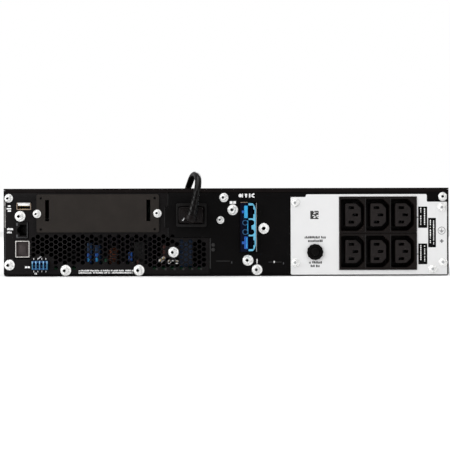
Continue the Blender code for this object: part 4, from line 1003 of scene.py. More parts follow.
def make_marks():
    """The print on the rear: only generic symbols and unreadable small print, and a strip of painted shade down
    the pale panel's right edge.
    """
    face = REAR
    white = Shape()
    for z, seed in ((5.3, 77), (3.2, 1312)):
        small_print(white, (-144.0, -90.0), z, 1.5, face, WHITE_INK, seed)
    for z, high in ((45.9, 2.2), (42.7, 1.8)):
        small_print(white, (-213.6, -207.4), z, high, face, WHITE_INK, int(z * 10))
    ticks = ((-210.6, 68.2, 2.6), (-210.9, 65.6, 4.4), (-210.4, 63.4, 3.2))
    lines = [(x - w / 2, z, x + w / 2, z, 1.3) for x, z, w in ticks]
    x, _, z = span("epo_socket")
    small_print(white, (x[0] + 2.6, x[0] + 5.4), z[0] - 3.8, 2.0, face, WHITE_INK, 5)
    for number in range(4):
        way = sum(x) / 2 + (number - 1.5) * 3.9
        lines += [(way, z[1] + 0.9, way, z[1] + 2.6, 0.6), (way, z[0] - 0.9, way, z[0] - 2.4, 0.6)]
    lines.append((x[0] + 6.0, z[1] + 1.0, x[0] + 9.6, z[1] + 4.0, 0.6))
    lines += [(x[0] + start, 8.8, x[0] + end, 8.8, 1.8) for start, end in ((-5.9, -3.9), (-3.4, -1.2))]
    z = span("battery_connector")[2][1] + 7.0
    white.prism(circle((13.8, z), 1.7, 12), ink_depth(face), WHITE_INK)
    wedge = [(18.2, z + 1.7), (20.6, z + 1.7), (20.0, z - 1.8), (18.9, z - 1.8)]
    white.prism(wedge, ink_depth(face), WHITE_INK)
    lines += [(15.9, z - 1.9, 15.9, z + 1.9, 1.0), (22.9, z - 1.9, 22.9, z + 1.9, 1.4)]
    lines += [(24.2, z, 27.4, z + 1.8, 1.3), (24.2, z, 27.4, z - 1.8, 1.3)]
    lines += [(3.5, 71.1, 6.3, 71.1, 2.6), (6.9, 71.1, 9.6, 71.1, 2.6), (29.9, 11.9, 29.9, 16.3, 0.9)]
    strokes(white, face, WHITE_INK, *lines)
    white.piece("white_print", CHASSIS)

    face = span("outlet_panel")[1][0]
    dark = Shape()
    for z, half, seed in ((37.1, 10.5, 2100), (33.7, 7.2, 9241), (12.8, 6.4, 3301), (9.4, 4.8, 1877)):
        small_print(dark, (85.5 - half, 85.5 + half), z, 2.4, face, BLACK_INK, seed)
    for column in range(8):
        for row in range(8):
            corner = (column < 3 or column > 4) and (row > 4 or (row < 3 and column < 3))
            finder = corner and (column % 5 != 1 or row % 5 != 1)
            if finder or (column * column + 3 * row + column * row) % 4 < 2:
                gx, gz = 81.6 + column, 54.8 + row
                dark.box((gx, gx + 1.0), (gz, gz + 1.0), ink_depth(face), BLACK_INK, 0.0)
    strokes(dark, face, BLACK_INK, *[(184.7, z, 187.0, z, 0.8) for z in (56.3, 20.7)])
    # A near-black strip down the pale panel's right edge: painted shade, not print.
    dark.box((214.05, 214.66), (1.5, 78.3), ink_depth(face), HOLE_BLACK, 0.0)
    dark.piece("black_print_and_edge_shade", CHASSIS)
    grey = Shape()
    strokes(grey, face, GREY_INK, *earth_lines((208.8, 43.2), 2.3, 3.5))
    cross = [(0.65, 0.65), (0.65, 1.7), (-0.65, 1.7), (-0.65, 0.65), (-1.7, 0.65), (-1.7, -0.65)]
    cross += [(-a, -b) for a, b in cross]
    grey.prism([(208.9 + a, 33.2 + b) for a, b in cross], ink_depth(face), GREY_INK)
    grey.piece("grey_print", CHASSIS)

    stickers = Shape()
    places = ((186.4, 194.6), (46.3, 66.4)), ((196.0, 203.0), (27.4, 55.4)), ((186.4, 194.6), (11.0, 30.6))
    for number, (x, z) in enumerate(places):
        centre, size = (sum(x) / 2, sum(z) / 2), (x[1] - x[0], z[1] - z[0])
        label = soft_rectangle(centre, (size[0] + 0.5, size[1] + 0.5), 0.4, 2)
        stickers.prism(label, (face - 0.10, face), HOLE_BLACK)
        for column, at in enumerate((0.27, 0.72)):
            place = z[0] + 1.6
            for chance in scatter(40 + 7 * number + column, 200):
                if place > z[1] - 1.8:
                    break
                length = 0.5 + 1.3 * chance
                if chance > 0.2:
                    cx = x[0] + size[0] * at
                    half = 0.3 + 0.2 * chance
                    depth = (face - 0.15, face - 0.09)
                    stickers.box((cx - half, cx + half), (place, place + length), depth, WHITE_INK, 0.0)
                place += length + 0.5
    stickers.piece("outlet_labels", CHASSIS)


# ---------------------------------------------------------------- ports and terminals

EPO_SHIFT = 0.85


def make_ports():
    """The three sockets on the left and the terminal plug under them."""
    front = span("usb_port")[1][0]
    x, z = middle("usb_port")
    usb = Shape()
    shell = [soft_rectangle((x, z), (14.0, 6.9), 1.0), soft_rectangle((x, z), (12.6, 5.5), 0.7)]
    usb.sheet(shell, (front, front + 13.6), SHELL_BROWN, 0.1)
    usb.boxes(
        (x, front, z),
        (WHITE_INK, 0.2, -6.2, 6.2, 2.7, 3.4, -0.05, 3),
        (SOCKET_BLACK, 0.1, -6.4, 6.4, -2.9, 2.9, 12.4, 13.4),
        (WHITE_INK, 0.2, -5.6, 5.6, 0.7, 2.5, 0.3, 12.5),
    )
    for number in range(4):
        usb.boxes(
            (x + (number - 1.5) * 2.4, front, z),
            (GOLD, 0.08, -0.5, 0.5, 0.2, 0.75, 0.7, 11),
            (GOLD, 0.08, -0.3, 0.3, -2.7, -2.2, 1.2, 11),
        )
    usb.piece("usb_socket", CHASSIS, ("usb_port",))

    x, z = middle("network_port")
    lan = Shape()
    half = [(4.3, 5.4), (-2.2, 5.4), (-2.2, 3.2), (-3.4, 3.2), (-3.4, 1.8), (-4.6, 1.8)]
    mouth = [(x + a, z + b) for a, b in half] + [(x + a, z - b) for a, b in reversed(half)]
    lan.sheet([soft_rectangle((x, z), (12.0, 15.5), 0.4, 2), mouth], (front, front + 13.0), SOCKET_BLACK, 0.15)
    for number in range(8):
        lan.boxes((x, front, z + (number - 3.5) * 1.02), (GOLD, 0.05, 3.0, 3.5, -0.2, 0.2, 6.0, 12.6))
    lan.boxes(
        (x, front, z),
        (SOCKET_BLACK, 0.1, -5.9, 5.9, -7.6, 7.6, 12.4, 14.0),
        (BATTERY_GREY, 0.1, -5.4, -3.8, -6.9, -4.3, -0.02, 0.6),
        (BATTERY_GREY, 0.1, -5.4, -3.8, 4.3, 6.9, -0.02, 0.6),
        (BATTERY_GREY, 0.05, 5.1, 5.5, -7.5, 7.5, -0.03, 0.5),
        (BATTERY_GREY, 0.05, -5.6, 5.5, -7.6, -7.2, -0.03, 0.5),
    )
    lan.piece("network_socket", CHASSIS, ("network_port",))

    x, z = middle("serial_port")
    port = Shape()
    ring = [soft_rectangle((x, z + 0.4), (13.8, 16.2), 1.0), soft_rectangle((x, z + 0.4), (12.1, 14.4), 0.4, 2)]
    port.sheet(ring, (front, front + 13.8), SHELL_METAL, 0.2)
    port.boxes(
        (x, front, z),
        (COMPONENT_DARK, 0.1, -5.8, 5.8, -6.6, 7.4, 2.2, 13.6),
        (COMPONENT_DARK, 0.5, -3.3, 3.3, -4.1, 4.1, 1.4, 3),
    )
    port.piece("serial_socket", CHASSIS, ("serial_port",))

    x, z = middle("epo_plug")
    x += EPO_SHIFT
    y = span("epo_plug")[1]
    plug = Shape()
    flange = soft_rectangle((x, z), (14.9, 8.4), 0.5, 2)
    ways = [(x + (number - 1.5) * 3.65, z) for number in range(4)]
    plug.sheet([flange, *[rectangle(way, (2.3, 5.2)) for way in ways]], (y[0], y[0] + 4.0), TERMINAL_BLUE, 0.25)
    plug.boxes((x, y[0], z), (DEEP_BLUE, 0.3, -7.4, 6.2, -3.0, 3.0, 3.6, y[1] - y[0]))
    for way in ways:
        plug.boxes(
            (way[0], y[0], z),
            (DEEP_BLUE, 0.1, -1.2, 1.2, -2.6, 2.6, 1.6, 3.8),
            (CAPACITOR_BLUE, 0.1, -0.8, 0.8, -1.2, 0.2, 1.3, 2.0),
        )
    for number in range(5):
        plug.boxes(
            (x + (number - 2) * 3.55, y[0], z),
            (SKY_PALE, 0.2, -0.4, 0.4, 1.6, 4.2, -0.25, 0.6),
            (TERMINAL_PALE, 0.2, -0.35, 0.35, -4.2, 1.8, -0.1, 0.6),
        )
    plug.piece("terminal_plug", "epo_plug", ("epo_plug",))

    keep("epo_socket", SOCKET_BLACK)


def make_battery_connector():
    """The external battery connector: bright carriers on a housing painted near-black blue as the shade of its
    recesses, beside a pale keyed housing.
    """
    (x0, x1), (y0, y1), (z0, z1) = span("battery_connector")
    front, split, mid = y0 + 0.9, 21.6, (z0 + z1) / 2
    made = Shape()
    # The housing's near-black blue is painted shade in the recess behind the carriers.
    made.box((x0, split), (z0, z1), (front + 1.4, y1), DEEP_BLUE, 0.5)
    # Painted light: the upper carrier is bright blue and the lower one mid blue, a lit and a shaded copy, and
    # the bright strip down each carrier's right side is a painted highlight.
    for side, bar in ((-1, MID_BLUE), (1, BRIGHT_BLUE)):
        made.boxes(
            (0, y0, mid + side * 14.9),
            (bar, 0.4, 17.5, 20.9, -6.0, 6.0, 0, 3.9),
            (BRIGHT_BLUE, 0.4, 19.2, 20.7, -5.5, 5.5, -0.02, 3.9),
            (MID_BLUE, 0.4, 15.2, 18.5, -1.3, 1.3, 0.2, 3.9),
        )
        eye = (18.4, mid + side * 4.5)
        made.sheet([circle(eye, 2.7), circle(eye, 2.0)], (front - 0.4, front + 2), EYE_BLUE, 0.1)
    # The bright strip right of the eyes is a painted highlight.
    made.box((20.4, 21.3), (mid - 6.6, mid + 6.6), (front - 0.4, front + 2), BRIGHT_BLUE, 0.3)
    edge = x1 - 1.1
    comb = [(split, z0 + 0.8), (edge - 3.0, z0 + 0.8), (edge - 1.2, z0 + 3.2), (edge - 0.1, z0 + 7.0)]
    comb += [(edge - 0.1, z1 - 6.0), (edge - 1.6, z1 - 2.4), (edge - 3.2, z1 - 0.6), (split, z1 - 0.6)]
    notch = [(split, 6.2), (26.3, 6.2), (26.3, 2.3), (27.5, 2.3)]
    notch += [(a, -b) for a, b in reversed(notch)]
    comb += [(a, mid + 14.9 + b) for a, b in notch] + [(split, mid + 7.2)]
    for lobe in (1, -1):
        for step in range(10):
            angle = math.radians(90 - 20 * step)
            comb.append((24.5 + 2.8 * math.cos(angle), mid + lobe * 4.5 + 2.7 * math.sin(angle)))
    comb += [(split, mid - 7.2)] + [(a, mid - 14.9 + b) for a, b in notch]
    made.prism(comb, (front, front + 8.0), SKY_BLUE, 0.22)
    # Near-black blue again as painted shade behind the comb and in its notches.
    made.box((split, x1 - 1.2), (z0 + 0.3, z1 - 0.3), (front + 7.6, y1), DEEP_BLUE, 0.3)
    for z in (mid - 14.9, mid + 14.9):
        made.box((23.4, 25.2), (z - 4.4, z + 4.4), (front + 4.0, front + 8.0), DEEP_BLUE, 0.3)
    made.box((14.0, split - 0.6), (z1 + 0.1, z1 + 0.6), (front + 0.6, front + 3), SHELL_BROWN, 0.1)
    made.box((x1 - 0.85, x1 - 0.4), (z0 + 0.2, z1 - 0.2), (front + 0.1, y1), GALVANISED, 0.1)
    made.piece("battery_socket", CHASSIS, ("battery_connector",))


def make_inlet():
    """The mains inlet's flange and recess."""
    x, z = middle("power_inlet")
    y = span("power_inlet")[1]
    inlet = Shape()
    rim = [soft_rectangle((x, z), (29.5, 23.0), 2.2, 4), soft_rectangle((x, z), (24.4, 16.6), 1.2, 4)]
    inlet.sheet(rim, (y[0] + 0.1, REAR - 0.05), SOCKET_BLACK, 0.45)
    inlet.sheet([rectangle((x, z), (26.2, 19.4)), rim[1]], (REAR - 0.2, REAR + 15), SOCKET_BLACK, 0.1)
    inlet.box((x - 13.1, x + 13.1), (z - 9.7, z + 9.7), (REAR + 14.6, y[1]), SOCKET_BLACK, 0.4)
    inlet.piece("mains_inlet", CHASSIS, ("power_inlet",))


# ---------------------------------------------------------------- outlets and breaker

OUTLETS = (122.8, 147.2, 171.2)
WELL = (22.7, 30.8)
TONGUE = (15.0, 22.2)


def make_outlets():
    """The two outlet strips: wells, tongues with contact slots, and lighter lines between outlets as painted
    highlights.
    """
    for name, node in (("outlets_upper", "outlet_strip_upper"), ("outlets_lower", "outlet_strip_lower")):
        (x0, x1), (y0, y1), (z0, z1) = span(node)
        mid = (z0 + z1) / 2
        made = Shape()
        body = soft_rectangle(((x0 + x1) / 2, mid), (x1 - x0, z1 - z0), 1.0)
        wells = [soft_keyed((x - 0.3, mid), WELL, 5.8, 1.5) for x in OUTLETS]
        made.sheet([body, *wells], (y0, y0 + 16.2), STRIP_BLACK, 0.3)
        made.box((x0 + 0.4, x1 - 0.4), (z0 + 0.4, z1 - 0.4), (y0 + 15.8, y1), STRIP_BLACK, 0.2)
        for outlet in OUTLETS:
            x = outlet + 0.3
            slots = [(x - 1.6, mid + 7.0), (x - 1.6, mid - 7.0), (x + 2.2, mid)]
            for slot in slots:
                made.boxes((slot[0], y0, slot[1]), (BATTERY_GREY, 0.2, -2.2, 2.2, -0.9, 0.9, 11, 15))
            holes = [soft_rectangle(slot, (5.4, 2.7), 0.4, 2) for slot in slots]
            tongue = soft_keyed((x, mid), TONGUE, 4.6, 1.3)
            made.sheet([tongue, *holes], (y0 + 0.7, y0 + 16.0), TONGUE_BLACK, 0.45)
        # The lighter lines between outlets are painted highlights.
        for left, right in zip(OUTLETS, OUTLETS[1:]):
            seam = (left + right) / 2 - 0.1
            made.box((seam - 0.22, seam + 0.22), (z0 + 1.2, z1 - 1.2), (y0 - 0.25, y0 + 0.1), EDGE_HIGHLIGHT, 0.1)
        for z in (z0 + 0.9, z1 - 0.9):
            made.box((x0 + 1, x1 - 1), (z - 0.25, z + 0.25), (y0 - 0.2, y0 + 0.1), STRIP_BLACK, 0.1)
        made.piece(name, CHASSIS, (node,), 28.0)


def make_breaker():
    """The reset breaker: a knurled collar round its button."""
    x, z = middle("breaker_body")
    y0 = span("breaker_body")[1][0]
    face = span("outlet_panel")[1][0]
    made = Shape()
    radii = [7.9, 7.9, 7.55, 7.55] * 12
    edge = zip(radii, circle((x, z), 7.9, 48))
    knurl = [(x + r / 7.9 * (a - x), z + r / 7.9 * (b - z)) for r, (a, b) in edge]
    bore = circle((x, z), 4.5, 32)
    made.sheet([knurl, circle((x, z), 4.9, 32)], (y0 - 0.1, face - 0.05), SLEEVE_BLACK, 0.3)
    made.sheet([circle((x, z), 6.0, 32), bore], (y0 - 0.5, REAR + 6), SLEEVE_BLACK, 0.3)
    made.sheet([rectangle((x, z), (15.0, 28.0)), bore], (REAR + 2, REAR + 17), SOCKET_BLACK, 0.3)
    made.boxes((x, REAR, z), (SOCKET_BLACK, 0.6, -7.5, 7.5, -14, 14, 16.5, 34))
    made.piece("breaker_case", CHASSIS, ("breaker_body",))
    button = Shape()
    by0, by1 = span("breaker_button")[1]
    long = by1 - by0
    profile = [(0, 0), (4.1, 0), (4.1, long - 1.0), (3.6, long - 0.3), (2.9, long), (0, long - 0.35)]
    button.turned(profile, (x, by1, z), (0, -1, 0), SLEEVE_BLACK, 40)
    button.piece("reset_button", "breaker_button", ("breaker_button",))


# ---------------------------------------------------------------- behind the vent


def make_internals():
    """The parts that show through the honeycomb and the card slot."""
    for node, material, edge in (
        ("main_board", BOARD_GREEN, 0.1),
        ("output_board", BOARD_GREEN, 0.1),
        ("heatsink", ANODISED, 0.2),
        ("filter_capacitor", CAPACITOR_BLUE, 0.0),
        ("battery_dock", CASE_BLACK, 0.0),
        ("bay_divider", GALVANISED, 0.1),
    ):
        keep(node, material, edge)
    board = span("main_board")[2][1]
    made = Shape()
    for x, high in ((-134.2, 25.0), (-126.4, 23.0)):
        made.boxes(
            (x, REAR, board),
            (CAPACITOR_BLUE, 0.8, -2.5, 2.5, 0, high, 9, 24),
            (MID_BLUE, 0.8, -1.9, 1.9, 5, 15, 5.5, 9.5),
            (BRIGHT_BLUE, 0.4, -0.9, 0.9, 6.5, 11.5, 4.9, 6),
        )
    made.boxes(
        (0, REAR, board),
        (MID_BLUE, 0.8, -95.6, -91.8, 7, 16, 6, 12),
        (CASE_BLACK, 1.0, -91.0, -80.0, 0, 26, 14, 34),
        (COMPONENT_RED, 0.6, -87.4, -84.6, 2.0, 9.0, 5, 9),
        (COMPONENT_RED, 0.8, -62.0, -58.2, 10, 23, 6, 12),
        (TERMINAL_GREEN, 0.4, -119.6, -117.4, 0, 9, 10, 16),
    )
    for x, z in ((-64.0, 7.4), (-61.2, 9.6), (-55.4, 6.4), (-48.2, 6.2), (-51.6, 9.0)):
        made.rod((x - 0.9, REAR + 4, board + z - 1), (x + 0.9, REAR + 3, board + z + 1.2), 1.2, GOLD, sides=12)
        made.rod((x, REAR + 2.6, board + z), (x, REAR + 7, board + z), 1.9, ZINC, sides=12)
    blocks = [(-160, 40, 20), (-175, -60, 16), (-170, 110, 24), (-30, -120, 22)]
    blocks += [(-40, -40, 18), (-172, -150, 14)]
    for x, y, size in blocks:
        made.boxes((x, y, board), (CASE_BLACK, 0.8, -size / 2, size / 2, 0, size, 0, size * 1.2))
    made.piece("board_parts", CHASSIS)
    make_choke(board)

    bank = Shape()
    x, y, z = span("capacitor_bank")
    bank.box((x[0], x[1]), (z[0], z[0] + 4), y, CASE_BLACK, 0.6)
    sleeve = [(0, 0), (13.6, 0), (13.6, 3.4), (12.9, 4.2), (12.9, 5.2), (13.8, 6.2)]
    sleeve += [(13.8, 49), (13.0, 50.2), (11.6, 50.2), (11.2, 49.6), (0, 49.6)]
    disc = [(0, 0), (11.0, 0), (11.0, 0.3), (0, 0.35)]
    for number in range(4):
        cy = 26.0 + number * 32.0
        bank.turned(sleeve, (-60, cy, z[0] + 3.8), (0, 0, 1), CAPACITOR_BLUE, 40)
        bank.turned(disc, (-60, cy, z[0] + 53.3), (0, 0, 1), ALUMINIUM, 40)
        bank.boxes((-60, cy, z[0]), (ALUMINIUM, 0.1, -10, 10, 53.5, 53.8, -0.4, 0.4))
    bank.piece("bus_capacitors", CHASSIS, ("capacitor_bank",))

    cage = Shape()
    half, high = (SLOT[0][1] - SLOT[0][0]) / 2, SLOT[1][1] - SLOT[1][0]
    cage.boxes(
        (sum(SLOT[0]) / 2, REAR, SLOT[1][0]),
        (GALVANISED, 0.1, -half - 1, half + 1, -1.6, -0.8, 2.2, 110),
        (GALVANISED, 0.1, -half - 1, half + 1, high + 0.8, high + 1.6, 2.2, 110),
        (GALVANISED, 0.1, -half - 1.6, -half - 0.8, -1.6, high + 1.6, 2.2, 110),
        (GALVANISED, 0.1, half + 0.8, half + 1.6, -1.6, high + 1.6, 2.2, 110),
        (BOARD_GREEN, 0.1, -half - 1, half + 1, -1, high + 1, 110, 111.2),
        *[(CASE_BLACK, 0.3, x - 2.2, x + 2.2, z, z + 1.2, 5.2, 104) for x in (-50.5, 50.5) for z in (6.0, 9.2)],
        (CASE_BLACK, 0.6, -34, 34, 5, 13, 101, 110),
        # A near-black strip stands for the card connector's slot: painted shade.
        (HOLE_BLACK, 0.2, -31, 31, 8, 10, 100.6, 102),
    )
    cage.piece("card_cage", CHASSIS)


def make_choke(board):
    """The output choke: a dark ring core wound with copper wire."""
    (x0, x1), (y0, y1), (z0, z1) = span("output_choke")
    x, y, z = (x0 + x1) / 2, (y0 + y1) / 2, (z0 + z1) / 2
    wire, turns, steps = 0.65, 22, 16
    radius, tall = (y1 - y0) / 4 + 1.4, (x1 - x0) / 2 - 2 * wire
    wide = (y1 - y0) / 2 - radius - 2 * wire
    corners = [(radius + wide, tall), (radius + wide, -tall), (radius - wide, -tall), (radius - wide, tall)]
    core = [tuple(p) for p in rounded(corners, 0.8, 3)]
    ring = Shape()
    ring.turned([*core, core[0]], (x, y, z), (1, 0, 0), COMPONENT_DARK)
    ring.box((x - 5.5, x + 5.5), (board, z0 + 1.2), (y - 6, y + 6), CASE_BLACK, 0.5)
    ring.piece("choke_core", CHASSIS)
    winding = []
    for step in range(turns * steps + 1):
        around = 2 * math.pi * step / (turns * steps) * 0.94 - 1.3
        about = 2 * math.pi * step / steps
        reach = radius + (wide + 1.4 * wire) * math.cos(about) * (1 + 0.18 * math.sin(about) ** 2)
        lift = (tall + 1.4 * wire) * math.sin(about) * (1 + 0.18 * math.cos(about) ** 2)
        winding.append((x + lift, y + reach * math.cos(around), z + reach * math.sin(around)))
    tube("choke_winding", winding, wire, COPPER, CHASSIS, ("output_choke",), 2)


# ---------------------------------------------------------------- fans

BLADES = 7


def fan_blade(start, x, y, z, deep):
    """One swept and twisted blade, starting at an angle round the hub, as a thin solid."""
    blade = bmesh.new()
    rows = []
    for i in range(8):
        t = i / 7
        radius = 13.5 + 22.6 * t
        row = []
        for j in range(6):
            s = j / 5 - 0.5
            angle = start + 0.42 * t * t + s * (0.50 + 0.16 * t) * 2 * 0.9
            depth = y + s * deep * (1 - 0.25 * t) - 1.6 * (1 - 4 * s * s)
            place = (x + radius * math.sin(angle), depth, z + radius * math.cos(angle))
            row.append(blade.verts.new([c * MM for c in place]))
        rows.append(row)
    for near, far in zip(rows, rows[1:]):
        for j in range(5):
            blade.faces.new((near[j], near[j + 1], far[j + 1], far[j]))
    bmesh.ops.recalc_face_normals(blade, faces=blade.faces)
    bmesh.ops.solidify(blade, geom=blade.faces[:], thickness=1.3 * MM)
    return blade


def make_fans():
    """The two fans: swept blades on a hub with a plain disc, and the screws of their frames."""
    for side in ("left", "right"):
        frame_node, rotor_node = "fan_frame_" + side, "fan_rotor_" + side
        keep(frame_node, CASE_BLACK, 0.5)
        y0, y1 = span(rotor_node)[1]
        x, z = middle(rotor_node)
        hub = [(0, 0), (14.2, 0), (14.8, 0.8), (14.8, 17), (13.8, 18), (0, 18)]
        disc = [(0, 0), (11.5, 0), (11.5, 0.15), (0, 0.2)]
        rotor = Shape()
        rotor.turned(hub, (x, y0, z), (0, 1, 0), TONGUE_BLACK, 48)
        rotor.turned(disc, (x, y0 + 17.95, z), (0, 1, 0), BATTERY_TAPE, 40)
        for number in range(BLADES):
            rotor.take(fan_blade(number * 2 * math.pi / BLADES, x, (y0 + y1) / 2, z, 15.5), TONGUE_BLACK)
        rotor.piece("rotor_" + side, "fan_" + side, (rotor_node,), 40.0)
        guard = Shape()
        head = [(0, 0), (3.4, 0), (3.4, 0.8), (2.6, 1.6), (0, 1.7)]
        for fx, fz in rectangle(middle(frame_node), (71.4, 71.4)):
            guard.turned(head, (fx, y0 - 5.1, fz), (0, -1, 0), ZINC, 24)
        guard.piece("fan_screws_" + side, CHASSIS)


# ---------------------------------------------------------------- battery module


def make_battery():
    """The pull-out battery: four cells taped together, their leads, and the tray's handle."""
    keep("battery_tray", GALVANISED, 0.25)
    (x0, x1), (y0, y1), (z0, z1) = span("battery_pack")
    mid_x, mid_y = (x0 + x1) / 2, (y0 + y1) / 2
    made = Shape()
    for ax, bx in ((x0, mid_x - 0.4), (mid_x + 0.4, x1)):
        for ay, by in ((y0, mid_y - 0.4), (mid_y + 0.4, y1)):
            made.box((ax, bx), (z0, z1 - 0.4), (ay, by), BATTERY_GREY, 1.6)
            ridges = [(SOCKET_BLACK, 0.2, -26, 26, -0.5, 0, y - 0.8, y + 0.8) for y in range(-30, 31, 12)]
            lid = (SOCKET_BLACK, 0.3, -30, 30, -0.9, -0.15, -45, 45)
            made.boxes(((ax + bx) / 2, (ay + by) / 2, z1), lid, *ridges)
    for y in (y0 + 40, y1 - 40):
        made.box((x0 - 0.15, x1 + 0.15), (z0, z1 + 0.1), (y - 12, y + 12), BATTERY_TAPE, 0.1)
    made.piece("battery_cells", "battery", ("battery_pack",))
    for name, dx, material in (("battery_lead_red", -4.0, WIRE_RED), ("battery_lead_black", 4.0, CORD_BLACK)):
        route = [(1, y0 + 30, 1.5), (1, mid_y - 10, 1.7), (2, mid_y + 30, 1.7)]
        route += [(3, y1 - 60, 1.7), (3, y1 - 18, 1.5)]
        lead = [(mid_x + dx * out, y, z1 + rise) for out, y, rise in route]
        tube(name, through(lead, 10), 1.4, material, "battery", (), 3)

    (hx0, hx1), (hy0, hy1), (hz0, hz1) = span("battery_handle")
    z = (hz0 + hz1) / 2
    mid, half = (hx0 + hx1) / 2, (hx1 - hx0) / 2 - 3.4
    bend = [(half, hy0 + 0.4), (half, hy1 - 9), (half - 1.6, hy1 - 5.2)]
    bend += [(half - 6, hy1 - 3.5), (half - 16, hy1 - 3.4)]
    bow = [(mid - a, y, z) for a, y in bend] + [(mid, hy1 - 3.4, z)]
    bow += [(mid + a, y, z) for a, y in reversed(bend)]
    tube("pull_handle", through(bow), 3.3, CASE_BLACK, "battery", ("battery_handle",), 6)
    feet = Shape()
    boss = [(0, 0), (6.4, 0), (6.4, 1.2), (5.4, 2.4), (3.4, 2.8), (0, 2.8)]
    for x in (mid - half, mid + half):
        feet.turned(boss, (x, hy0 - 0.2, z), (0, 1, 0), CASE_BLACK)
    feet.piece("handle_bosses", "battery")
    bolts = Shape()
    tray_x, tray_y, tray_z = span("battery_tray")
    for x in (tray_x[0] + 8, tray_x[1] - 8):
        for z in (tray_z[0] + 8, tray_z[1] - 8):
            bolts.screw((x, tray_y[1], z), rotation(-90, "X"), (0.8, 0.7))
    bolts.piece("tray_screws", "battery")


# ---------------------------------------------------------------- front

BUTTONS = ("button_power", "button_up", "button_down", "button_enter")
KEPT = {
    BEZEL_BLACK: {"front_bezel": 0.3, "battery_cover": 0.3},
    CASE_BLACK: {"display_housing": 0.25},
    LENS: {"display_lens": 0.2},
    BOARD_GREEN: {"display_board": 0.1},
    BLACK_PAINT: {"front_frame": 0.15, "rack_ear_left": 0.4, "rack_ear_right": 0.4, "base_tray": 0.2},
    COVER_PAINT: {"top_cover": 0.2},
    SLOT_PAINT: {"card_slot_cover": 0.2},
    PALE_PAINT: {"outlet_panel": 0.35},
}


def make_filters():
    """The dust filters behind the slots of the bezel and the battery cover."""
    across = 4.6
    places = ("fan_filter", "bezel", -206.0, -82.0), ("battery_filter", "battery_cover", 22.0, 178.0)
    for name, body, x0, x1 in places:
        mesh = Shape()
        back = FRONT + 22.0
        holes = []
        for column in range(1, int((x1 - x0) / across)):
            for row in range(13):
                z = 12.0 + row * 5.0 + (column % 2) * 2.5
                if z < 73:
                    holes.append(circle((x0 + column * across, z), 2.2, 6))
        outline = rectangle(((x0 + x1) / 2, 42.5), (x1 - x0, 70.0))
        mesh.sheet([outline, *holes], (back - 0.9, back - 0.1), FOAM_GREY, 0.05)
        mesh.piece(name, body, (), 25.0)


def make_display():
    """The lit segments of the display."""
    (x0, x1), (_, face), (z0, z1) = span("display_lens")
    rows = [(x0 + 6, x0 + 13, z0 + 4 + step * 3.4, z0 + 6.4 + step * 3.4) for step in range(5)]
    rows += [(x1 - 13, x1 - 6, z0 + 4 + step * 3.4, z0 + 6.4 + step * 3.4) for step in range(3)]
    for number in range(3):
        x = (x0 + x1) / 2 - 7.5 + number * 7.0
        rows += [(x - 2.2, x + 1.2, z0 + z, z0 + z + 0.8) for z in (5.0, 11.0, 17.0)]
        for dx in (-3.0, 1.4):
            for z in (6.2, 12.2):
                if (number, dx, z) != (1, 1.4, 6.2):
                    rows.append((x + dx, x + dx + 0.8, z0 + z, z0 + z + 4.4))
    screen = Shape()
    screen.boxes((0, face, 0), *[(DISPLAY_GLOW, 0.0, *row, -0.02, 0.05) for row in rows])
    screen.piece("display_segments", "bezel")


def make_display_rim():
    """The rim round the display's window and the lamp beside it."""
    (x0, x1), _, (z0, z1) = span("display_lens")
    housing_x, housing_y, _ = span("display_housing")
    edge, near = housing_x[1] - 4.5, housing_y[1] - 0.02
    centre = ((x0 + x1) / 2, (z0 + z1) / 2)
    rims = [soft_rectangle(centre, (x1 - x0 + d, z1 - z0 + d), r, 4) for d, r in ((2.6, 1.6), (0.8, 1.0))]
    rim = Shape()
    rim.sheet(rims, (near, near + 0.32), SHELL_METAL, 0.1)
    rim.rod((edge, near - 0.2, 27), (edge, near + 0.32, 27), 1.0, GREEN_GLOW, sides=20)
    rim.piece("display_rim", "bezel")


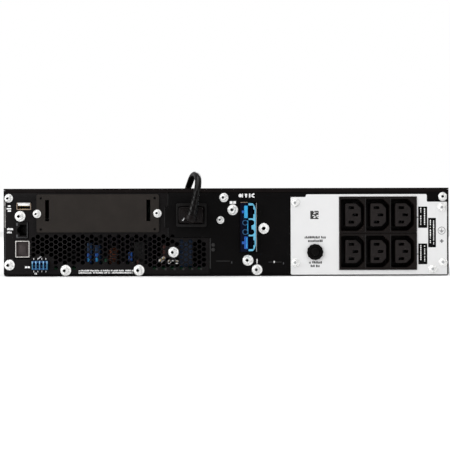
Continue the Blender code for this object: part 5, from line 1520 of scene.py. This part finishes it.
def make_button_marks():
    """A plain symbol on each button: a broken ring with a bar, two arrows and a bent arrow."""
    for button in BUTTONS:
        x, z = middle(button)
        top = span(button)[1][1]
        y = (top - 0.02, top + 0.05)
        mark = Shape()
        if button == "button_power":
            for step in range(20):
                a, b = (math.radians(115 + 310 * (step + k) / 20) for k in (0, 1))
                ends = ((a, 1.5), (b, 1.5), (b, 1.1), (a, 1.1))
                mark.prism([(x + r * math.cos(t), z + r * math.sin(t)) for t, r in ends], y, WHITE_INK)
            mark.box((x - 0.2, x + 0.2), (z + 0.4, z + 2.0), y, WHITE_INK, 0.0)
        elif button == "button_enter":
            mark.box((x - 1.4, x + 1.0), (z - 0.2, z + 0.2), y, WHITE_INK, 0.0)
            mark.box((x + 0.7, x + 1.1), (z - 0.2, z + 1.5), y, WHITE_INK, 0.0)
            mark.prism([(x - 1.9, z), (x - 0.9, z - 0.8), (x - 0.9, z + 0.8)], y, WHITE_INK)
        else:
            up = 1 if button == "button_up" else -1
            mark.prism([(x - 1.5, z - 0.8 * up), (x + 1.5, z - 0.8 * up), (x, z + 1.3 * up)], y, WHITE_INK)
        mark.piece(button + "_mark", button)


def make_case():
    """The nodes that stay as the CAD model has them, and the screws of the lid, the side walls and the ears."""
    for material, nodes in KEPT.items():
        for node, edge in nodes.items():
            keep(node, material, edge)
    for button in BUTTONS:
        keep(button, TONGUE_BLACK, 0.5, 3)
    lid = Shape()
    for x in (-200.0, -70.0, 70.0, 200.0):
        for y in (-244.0, 250.0):
            lid.screw((x, y, HEIGHT - 0.3), rotation(x + y, "Z"), (0.62, 0.2))
    lid.piece("lid_screws", CHASSIS)
    walls = Shape()
    for side in (-1, 1):
        outwards = rotation(side * 90, "Y")
        for y in (-250.0, -90.0, 70.0, 180.0):
            walls.screw((side * SIDE, y, 62.0), outwards, (0.62, 0.5))
        for y in (228.0, 262.0):
            for z in (16.0, 69.0):
                walls.screw((side * (SIDE + 2.8), y, z), outwards, (0.75, 0.8))
    walls.piece("side_screws", CHASSIS)


make_cord()
make_screws()
make_plates()
make_marks()
make_ports()
make_battery_connector()
make_inlet()
make_outlets()
make_breaker()
make_internals()
make_fans()
make_battery()
make_filters()
make_display()
make_button_marks()
make_display_rim()
make_case()
